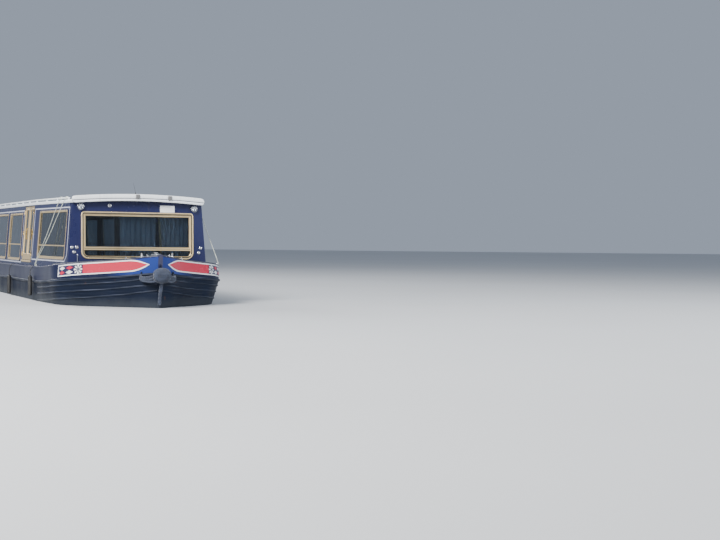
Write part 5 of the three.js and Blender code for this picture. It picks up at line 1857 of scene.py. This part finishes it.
@dataclass
class RopeFenders:
    """The rope-work fenders at the bow and the stern, and the side fenders."""

    turns: int = 15
    bow_centre: Spot = (8.568, 0.0, 1.215)
    bow_size: Spot = (0.325, 0.149, 0.128)
    bow_eye: Flat = (8.221, 1.2)
    bow_arms: Profile = mm((26, 26), (-12, 24), (-48, 21))
    bow_tail: Places = (
        (8.545, 0.0, 1.11), (8.5, 0.0, 0.98), (8.462, -0.008, 0.82), (8.436, -0.012, 0.67),
    )
    stern_centre: Spot = (-8.548, 0.0, 0.93)
    stern_size: Spot = (0.46, 0.142, 0.145)
    stern_lashing: Places = (
        (-8.5, 0.2, 1.02), (-8.44, 0.24, 1.16), (-8.4, 0.26, 1.236),
    )
    side_y: float = 1.751
    side_ribs: int = 13

    def woven(self, centre: Vector, length: float, radius: float, deep: float) -> Shape:
        """A barrel of rope wound across the boat, laid side by side.

        Args:
            centre: Its middle.
            length: Its length along Y.
            radius: Its greatest half height.
            deep: Its greatest half depth along X.

        Returns:
            The windings and the core under them.
        """

        def swell(share: float) -> float:
            """How thick the barrel is at a share of its half length."""
            return sqrt(max(0.0, 1 - (abs(share) * 0.93) ** 2.4))

        shape = Shape()
        thick = length / self.turns / 2 * 1.25
        for k in range(self.turns):
            share = (k + 0.5) / self.turns * 2 - 1
            r, d = radius * swell(share) - thick, deep * swell(share) - thick
            winding = []
            for j in range(36):
                a = 2 * pi * j / 36
                wobble = 0.006 * sin(3 * a + k)
                winding.append(centre + Vector((d * cos(a), share * length / 2 + wobble, r * sin(a))))
            shape.add(self.twisted(winding, thick))
        core = []
        for share in (-0.96, -0.8, -0.5, 0.0, 0.5, 0.8, 0.96):
            size = swell(share) * 0.93
            middle = centre + Vector((0, share * length / 2, 0))
            core.append(ellipse(middle, (deep * size, 0, 0), (0, 0, radius * size), 24))
        return shape.add(grid(core, wrap=True, caps=True))

    @staticmethod
    def twisted(winding: Line, thick: float) -> Shape:
        """A closed turn of two-strand rope."""
        fine = resampled([*winding, winding[0]], thick * 0.8)[:-1]
        turns = max(1, round(len(fine) / 9))
        return laid(fine, 2, 2 * pi * turns / len(fine), thick * 0.42, thick * 0.62, closed=True)

    def bow(self) -> None:
        """The bow fender with its two arms, eyes and tail."""
        centre = Vector(self.bow_centre)
        shape = self.woven(centre, *self.bow_size)
        shackles = Shape()
        x, z = self.bow_eye
        y = LINES.skin_point(x, z + 0.1)[0].y
        for side in Side:
            eye = side.at(x, y, z)
            for drop, thick in self.bow_arms:
                arm = [
                    centre + side.at(-0.01, 0.12, drop * 1.5 - 0.03),
                    centre + side.at(-0.105, 0.205, drop * 1.2 - 0.058),
                    eye + side.at(0.062, 0.04, drop * 0.65 - 0.036),
                    eye + side.at(0.012, 0.02, drop * 0.3 + 0.004),
                ]
                shape.add(rope(curve_through(arm, 6), thick, 6))
            middle = eye + side.at(0.01, 0.016, 0.03)
            shackles.add(ring(middle, side.at(0, 0.01, 0), (0, 0, 0.046), 0.0085, 10))
        shape.add(rope(curve_through(self.bow_tail, 6), 0.034, 6))
        finished("bow_fender_rope", shape, GREY_ROPE, replaces=["bow_fender"], angle=60)
        # The shackles take the strake finish, painted highlights included.
        finished("bow_fender_shackles", shackles, STRAKE)

    def stern(self) -> None:
        """The stern fender with its lashings."""
        shape = self.woven(Vector(self.stern_centre), *self.stern_size)
        finished("stern_fender_rope", shape, GREY_ROPE, replaces=["stern_fender"], angle=60)
        lashings = Shape()
        for side in Side:
            line = [side.at(*p) for p in self.stern_lashing]
            lashings.add(rope(curve_through(line, 6), 0.01))
        finished("stern_fender_lashings", lashings, BLACK_ROPE)

    def side_fender(self, side: Side, x: float, foot: float, which: str) -> None:
        """One side fender: a ribbed rubber body on a dark rope."""
        profile = [(0.01, 0.0), (0.03, 0.004), (0.041, 0.016)]
        for k in range(self.side_ribs):
            z = 0.03 + k * 0.0275
            profile += [(0.0415, z), (0.045, z + 0.007), (0.045, z + 0.014), (0.0415, z + 0.021)]
        profile += [(0.041, 0.392), (0.03, 0.404), (0.014, 0.41), (0.012, 0.428), (0.004, 0.43)]
        name = f"side_fender_{which}_{side.word}"
        body = turned(profile, side.at(x, self.side_y, foot), 28)
        finished(name + "_body", body, BLACK_RUBBER, replaces=[name], angle=28)
        rim = LINES.rim(x)
        over = rim.z + 0.013
        path = [(rim.y - 0.06, over), (rim.y - 0.01, over), (rim.y + 0.024, over - 0.02)]
        path += [(self.side_y - 0.006, foot + 0.52), (self.side_y, foot + 0.42)]
        line = curve_through([side.at(x, y, z) for y, z in path], 6)
        finished(name + "_rope", rope(line, 0.008), BLACK_ROPE, angle=60)

    def build(self) -> None:
        """Builds every fender."""
        self.bow()
        self.stern()
        for side in Side:
            self.side_fender(side, 4.8, 0.7, "fore")
            self.side_fender(side, 2.2, 0.64, "aft")


@dataclass
class MooringLines:
    """Taut lines between the roof rail and the gunwale."""

    runs: tuple[tuple[Side, float, float], ...] = (
        (Side.STARBOARD, 5.93, 4.92),
        (Side.STARBOARD, 6.32, 4.98),
        (Side.PORT, 6.25, 6.8),
    )
    radius: float = 0.007
    stud: Profile = mm((20, -20), (20, 8), (10, 12), (10, 34), (19, 40), (17, 50), (1, 52))

    def build(self) -> None:
        """Builds the lines and the gunwale's small studs that they end on."""
        lines, studs = Shape(), Shape()
        for side, top_x, foot_x in self.runs:
            top = side.at(top_x, PLANES.half_at(top_x, 2.58) - 0.006, 2.69)
            rim = LINES.rim(foot_x)
            foot = side.at(foot_x, rim.y - 0.006, rim.z + 0.03)
            middle = top.lerp(foot, 0.52) + side.at(0.012, 0.01, -0.03)
            path = [top + side.at(0, -0.02, 0.012), top, middle, foot, foot + side.at(0, -0.012, -0.016)]
            lines.add(rope(curve_through(path, 8), self.radius))
            middle = top + side.at(0, -0.014, -0.008)
            lines.add(ring(middle, (0, 0.022, 0), (0, 0, 0.022), self.radius, 8, 14))
            studs.add(turned(self.stud, side.at(foot_x, rim.y - 0.034, rim.z), 18))
        finished("mooring_lines", lines, PALE_ROPE, angle=60)
        finished("gunwale_studs", studs, CHROME)


@dataclass
class Decks:
    """The decks, lids, studs and small fittings on them."""

    stud_x: float = 8.12
    stud_tall: float = 0.102
    stud: Profile = mm((40, 4), (34, 12), (27, 24), (26.5, 80), (36, 89), (42, 93), (42, 99), (38, 102))
    stud_bar: Profile = mm((-92, 9), (-88, 14.5), (88, 14.5), (92, 9))
    stud_foot: float = 0.07
    post_x: float = 8.2
    post: Profile = mm((30, -10), (30, 6), (20, 10), (16, 20), (16, 50), (22, 58), (22, 66), (1, 69))
    lead_stations: Flat = (7.96, 8.285)
    hinge_place: Flat = (7.163, 0.24)
    lid_ring_x: float = 7.72
    dolly_place: Spot = (-6.45, 1.33, 1.2903)
    dolly: Profile = mm(
        (62, 0), (62, 10), (56, 14), (34, 20), (30, 40), (30, 95), (40, 110), (48, 115), (48, 122),
        (44, 126),
    )
    engine_ring: Spot = (-7.18, 0.0, 1.317)

    def bow_stud(self) -> None:
        """The stud with its cross bar on a round foot."""
        x, z = self.stud_x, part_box("bow_stud")[1][2] - self.stud_tall
        stud = turned(self.stud, (x, 0, z))
        bar = [(x, y, z + 0.058) for y, _ in self.stud_bar]
        stud.add(tube(bar, [radius for _, radius in self.stud_bar], 16))
        pad = ellipse((x, 0, 0), (self.stud_foot, 0, 0), (0, self.stud_foot, 0), 32)
        stud.add(plate([(p.x, p.y) for p in pad], z - 0.004, z + 0.022))
        finished("bow_stud_body", stud, CHROME, replaces=["bow_stud"])

    def fairleads(self) -> None:
        """A post and two ringed leads on each side of the foredeck."""
        lead = Shape()
        for side in Side:
            rim = LINES.rim(self.post_x)
            lead.add(turned(self.post, side.at(self.post_x, rim.y - 0.062, rim.z + 0.0305), 24))
            for x in self.lead_stations:
                rim = LINES.rim(x)
                y = rim.y - 0.058
                lead.add(ring(side.at(x, y, rim.z + 0.046), (0.034, 0, 0), (0, 0, 0.014), 0.006, 10))
                low = side.at(x - 0.042, y - 0.014, rim.z + 0.022)
                lead.add(block(low, side.at(x + 0.042, y + 0.014, rim.z + 0.036), 0.003))
        finished("fairleads", lead, CHROME)

    def locker_lid(self) -> None:
        """The hinges and the ring of the locker's lid."""
        hinge = Shape()
        x, y = self.hinge_place
        z = LINES.rim(7.17).z + 0.0303 + 0.012
        for side in Side:
            hinge.add(tube([(x, side.value * y + end, z) for end in (-0.05, 0.05)], 0.0075, 12))
        finished("locker_hinges", hinge, CHROME)
        middle = (self.lid_ring_x, 0, LINES.rim(self.lid_ring_x).z + 0.0555)
        grip = ring(middle, (0.03, 0, 0), (0, 0.03, 0), 0.004, 8)
        finished("locker_lid_ring", grip, CHROME, "foredeck_locker_lid")

    def aft(self) -> None:
        """The mooring dollies and the engine lid's ring."""
        for side in Side:
            made = turned(self.dolly, side.at(*self.dolly_place))
            finished("dolly_" + side.word, made, CHROME, replaces=["stern_dolly_" + side.word])
        grip = ring(self.engine_ring, (0.035, 0, 0), (0, 0.035, 0), 0.0045, 8)
        finished("engine_lid_ring", grip, CHROME, "engine_hatch_lid")

    def build(self) -> None:
        """Builds all deck pieces."""
        repaint(DECK, "foredeck", "foredeck_locker_lid", "aft_deck", "engine_hatch_lid")
        self.bow_stud()
        self.fairleads()
        self.locker_lid()
        self.aft()


@dataclass
class Stern:
    """The stern rail, rudder, tiller and propeller, and the engine's paint."""

    deck_z: float = 1.29
    rail_rise: float = 0.78
    rail_inset: float = 0.07
    rail_stations: tuple[float, ...] = (-7.0, -7.5, -7.98, -8.26, -8.37)
    post_stations: tuple[float, ...] = (-7.01, -7.54, -8.02, -8.33)
    post: Profile = ((0.04, 0.0), (0.04, 0.006), (0.02, 0.012), (0.0165, 0.02), (0.0165, 0.775))
    stock_x: float = -7.85
    blade: Profile = (
        (-0.5, 0.075), (-0.487, 0.062), (0.167, 0.062), (0.18, 0.075), (0.18, 0.479), (0.167, 0.492),
        (-0.487, 0.492), (-0.5, 0.479),
    )
    collar: Profile = ((0.062, 1.2903), (0.062, 1.31), (0.056, 1.316), (0.031, 1.318))
    neck: Profile = ((0.0, 1.555), (-0.02, 1.76), (0.06, 1.96), (0.24, 2.11), (0.52, 2.18), (0.9, 2.206))
    bar: Profile = ((0.86, 2.204), (1.02, 2.213))
    grip_radii: tuple[float, ...] = (0.0175, 0.0205, 0.0195, 0.018, 0.0175, 0.0185, 0.0205, 0.0195, 0.012)
    screw_place: Flat = (-7.48, 0.275)
    hub: Profile = mm((10, -66), (26, -60), (40, -40), (43, 0), (43, 50), (34, 56))
    blades: int = 3
    blade_root: float = 0.036
    blade_tip: float = 0.212
    blade_section: Profile = (
        (-0.5, 0.0), (-0.25, 0.8), (0.0, 1.0), (0.25, 0.8), (0.5, 0.0), (0.25, -0.8), (0.0, -1.0),
        (-0.25, -0.8),
    )

    def rail(self) -> None:
        """The rail round the aft deck, on posts with feet."""
        z = self.deck_z + self.rail_rise
        port = [Vector((x, LINES.rim(x).y - self.rail_inset, z)) for x in self.rail_stations]
        path = curve_through([*port, *mirrored(port[::-1], Side.STARBOARD)], 6)
        shape = tube(path, 0.0205, 18)
        for side in Side:
            for x in self.post_stations:
                foot = side.at(x, LINES.rim(x).y - self.rail_inset, self.deck_z + 0.0003)
                shape.add(turned(self.post, foot, 18))
        finished("deck_rail", shape, CHROME, replaces=["stern_rail"])

    def steering(self) -> None:
        """The rudder's blade and stock, the swan neck, and the tiller with its grip."""
        x = self.stock_x
        to_side = Matrix(((1, 0, 0, 0), (0, 0, -1, 0), (0, 1, 0, 0), (0, 0, 0, 1)))
        blade = plate([(x + dx, z) for dx, z in self.blade], -0.0141, 0.0141).placed(to_side)
        stock = tube([(x, 0, z) for z in (0.0523, 0.06, 1.6)], 0.0302, 20)
        blade.add(stock, turned(self.collar, (x, 0, 0), 28))
        finished("rudder_blade", blade, BLACKING, "rudder", ["rudder"])
        neck = curve_through([(x + dx, 0, z) for dx, z in self.neck], 8)
        radii = [0.0262 - 0.006 * i / (len(neck) - 1) for i in range(len(neck))]
        finished("swan_neck", tube(neck, radii, 18), NAVY, "rudder")
        finished("tiller_bar", tube([(x + dx, 0, z) for dx, z in self.bar], 0.0185, 18), BRASS, "rudder")
        dx, z = self.bar[-1]
        grip = [(x + dx + 0.16 * k / 8, 0, z + 0.009 * k / 8) for k in range(9)]
        finished("tiller_grip", tube(grip, self.grip_radii, 18), OAK, "rudder")

    def propeller(self) -> None:
        """Twisted blades on a hub, and the shaft."""
        x, z = self.screw_place
        shape = turned(self.hub, (x, 0, z), 28, (1, 0, 0))
        shape.add(tube([(x + 0.05, 0, z), (-6.72, 0, z)], 0.0201, 18))
        rows = []
        for i in range(13):
            share = i / 12
            r = self.blade_root + (self.blade_tip - self.blade_root) * share
            chord = 0.155 * sin(pi * (0.17 + 0.78 * share)) ** 0.8
            pitch = radians(62 - 34 * share)
            thick = 0.011 * (1 - share) + 0.003
            section = []
            for c, t in self.blade_section:
                across, rise = c * chord, t * thick / 2
                dx = across * sin(pitch) + rise * cos(pitch)
                dy = across * cos(pitch) - rise * sin(pitch)
                section.append(Vector((dx, dy, sqrt(max(r * r - dy * dy, 1e-4)))))
            rows.append(section)
        for k in range(self.blades):
            turn = Matrix.Rotation(2 * pi * k / self.blades, 4, "X")
            shape.add(grid(rows, wrap=True, caps=True).placed(Matrix.Translation((x, 0, z)) @ turn))
        finished("propeller_blades", shape, BRONZE, "propeller", ["propeller"], 45)

    def build(self) -> None:
        """Builds the stern's pieces."""
        self.rail()
        self.steering()
        self.propeller()
        repaint(ENGINE_GREEN, "engine")


@dataclass
class Interior:
    """What shows of the cabin's inside: boarded floor and benches."""

    plank: float = 0.145
    planks: int = 13
    slat: float = 0.112
    slat_step: float = 0.125
    slat_start: float = 0.985

    def build(self) -> None:
        """Gives the inside its boards and finishes."""
        boards = Shape()
        for k in range(self.planks):
            y = (k - self.planks / 2) * (self.plank + 0.002) + 0.001
            boards.add(block((-5.298, y, 0.2905), (5.398, y + self.plank, 0.3), 0.003, 1))
        finished("floor_planks", boards, FLOOR_WOOD)
        repaint(FLOOR_WOOD, "cabin_floor")
        for side in Side:
            slats = Shape()
            for k in range(3):
                y = self.slat_start + self.slat_step * k
                slats.add(block(side.at(-5.24, y, 0.7005), side.at(2.39, y + self.slat, 0.716), 0.006))
            finished("bench_slats_" + side.word, slats, OAK)
            repaint(OAK, "bench_" + side.word)
            repaint(NAVY, "cabin_side_fore_" + side.word, "cabin_side_aft_" + side.word)


# The picture


@dataclass(frozen=True)
class Studio:
    """The camera, the soft lights and the floor."""

    eye: Spot = (33.243, -6.783, 1.898)
    yaw: float = -23.6147
    pitch: float = -1.2005
    roll: float = 0.7166
    focal_px: float = 1366.01
    image_px: float = 720.0
    sensor: float = 36.0
    floor_half: float = 140.0
    glow: RGB = (0.7, 0.81, 1.0)
    glow_strength: float = 0.45

    def camera(self) -> None:
        """The camera, where the photograph was taken from."""
        a, e, r = (radians(v) for v in (self.yaw, self.pitch, self.roll))
        forward = Vector((-cos(a) * cos(e), -sin(a) * cos(e), sin(e)))
        right = forward.cross(UP).normalized()
        up = right.cross(forward)
        x_axis = right * cos(r) + up * sin(r)
        y_axis = up * cos(r) - right * sin(r)
        data = bpy.data.cameras.new("camera")
        data.sensor_width = self.sensor
        data.lens = self.focal_px / self.image_px * self.sensor
        data.clip_start, data.clip_end = 0.1, 400.0
        made = linked("camera", data)
        turn = Matrix((x_axis, y_axis, -forward)).transposed().to_4x4()
        made.matrix_world = Matrix.Translation(self.eye) @ turn
        bpy.context.scene.camera = made

    def light(self, name: str, place: Point, target: Point, size: float, power: float, color: RGB) -> None:
        """One large soft light.

        Args:
            name: The light's name.
            place: Where it hangs.
            target: What it faces.
            size: Its side.
            power: Its power in watts.
            color: Its colour.
        """
        data = bpy.data.lights.new(name, "AREA")
        data.shape, data.size, data.energy, data.color = "SQUARE", size, power, color
        made = linked(name, data)
        made.location = place
        made.rotation_mode = "QUATERNION"
        made.rotation_quaternion = (Vector(target) - Vector(place)).to_track_quat("-Z", "Y")

    def floor(self) -> None:
        """The pale floor at the waterline."""
        size = self.floor_half
        shape = grid([[Vector((x, y, WATERLINE)) for y in (size, 0, -size)] for x in (-size, 0, size)])
        mesh = shape.mesh("studio_floor")
        mesh.materials.append(FLOOR.material())
        linked("studio_floor", mesh)

    def lights(self) -> None:
        """The lights and the sky's even glow."""
        self.light("key", (24, -20, 20), (4, 0, 1.4), 12, 22500, (1.0, 0.985, 0.96))
        self.light("fill", (22, 18, 12), (4, 0, 1.4), 14, 4500, (0.9, 0.95, 1.0))
        self.light("back", (-16, -8, 16), (0, 0, 1.4), 10, 5000, (1.0, 1.0, 1.0))
        world = bpy.data.worlds.new("studio")
        world.use_nodes = True
        sky = world.node_tree.nodes["Background"]
        sky.inputs["Color"].default_value = (*self.glow, 1.0)
        sky.inputs["Strength"].default_value = self.glow_strength
        bpy.context.scene.world = world


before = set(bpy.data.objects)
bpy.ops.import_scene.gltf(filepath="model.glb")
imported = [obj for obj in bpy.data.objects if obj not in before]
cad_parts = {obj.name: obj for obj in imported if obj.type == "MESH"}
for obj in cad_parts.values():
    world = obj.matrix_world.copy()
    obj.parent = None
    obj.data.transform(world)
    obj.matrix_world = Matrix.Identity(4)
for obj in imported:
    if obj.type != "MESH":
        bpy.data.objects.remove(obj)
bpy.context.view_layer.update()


def main() -> None:
    """Builds the boat's sub-assemblies in order."""
    logging.basicConfig(level=logging.INFO, format="%(name)s: %(message)s")
    studio = Studio()
    studio.camera()
    makers: tuple[Callable[[], object], ...] = (
        Hull, BowBoards, Windows, CoachLines, FrontDress, Roof, SideDoors, RearDoors,
        Curtains, RopeFenders, MooringLines, Decks, Stern, Interior,
    )
    for maker in makers:
        maker().build()
    studio.floor()
    studio.lights()


if __name__ == "__main__":
    main()
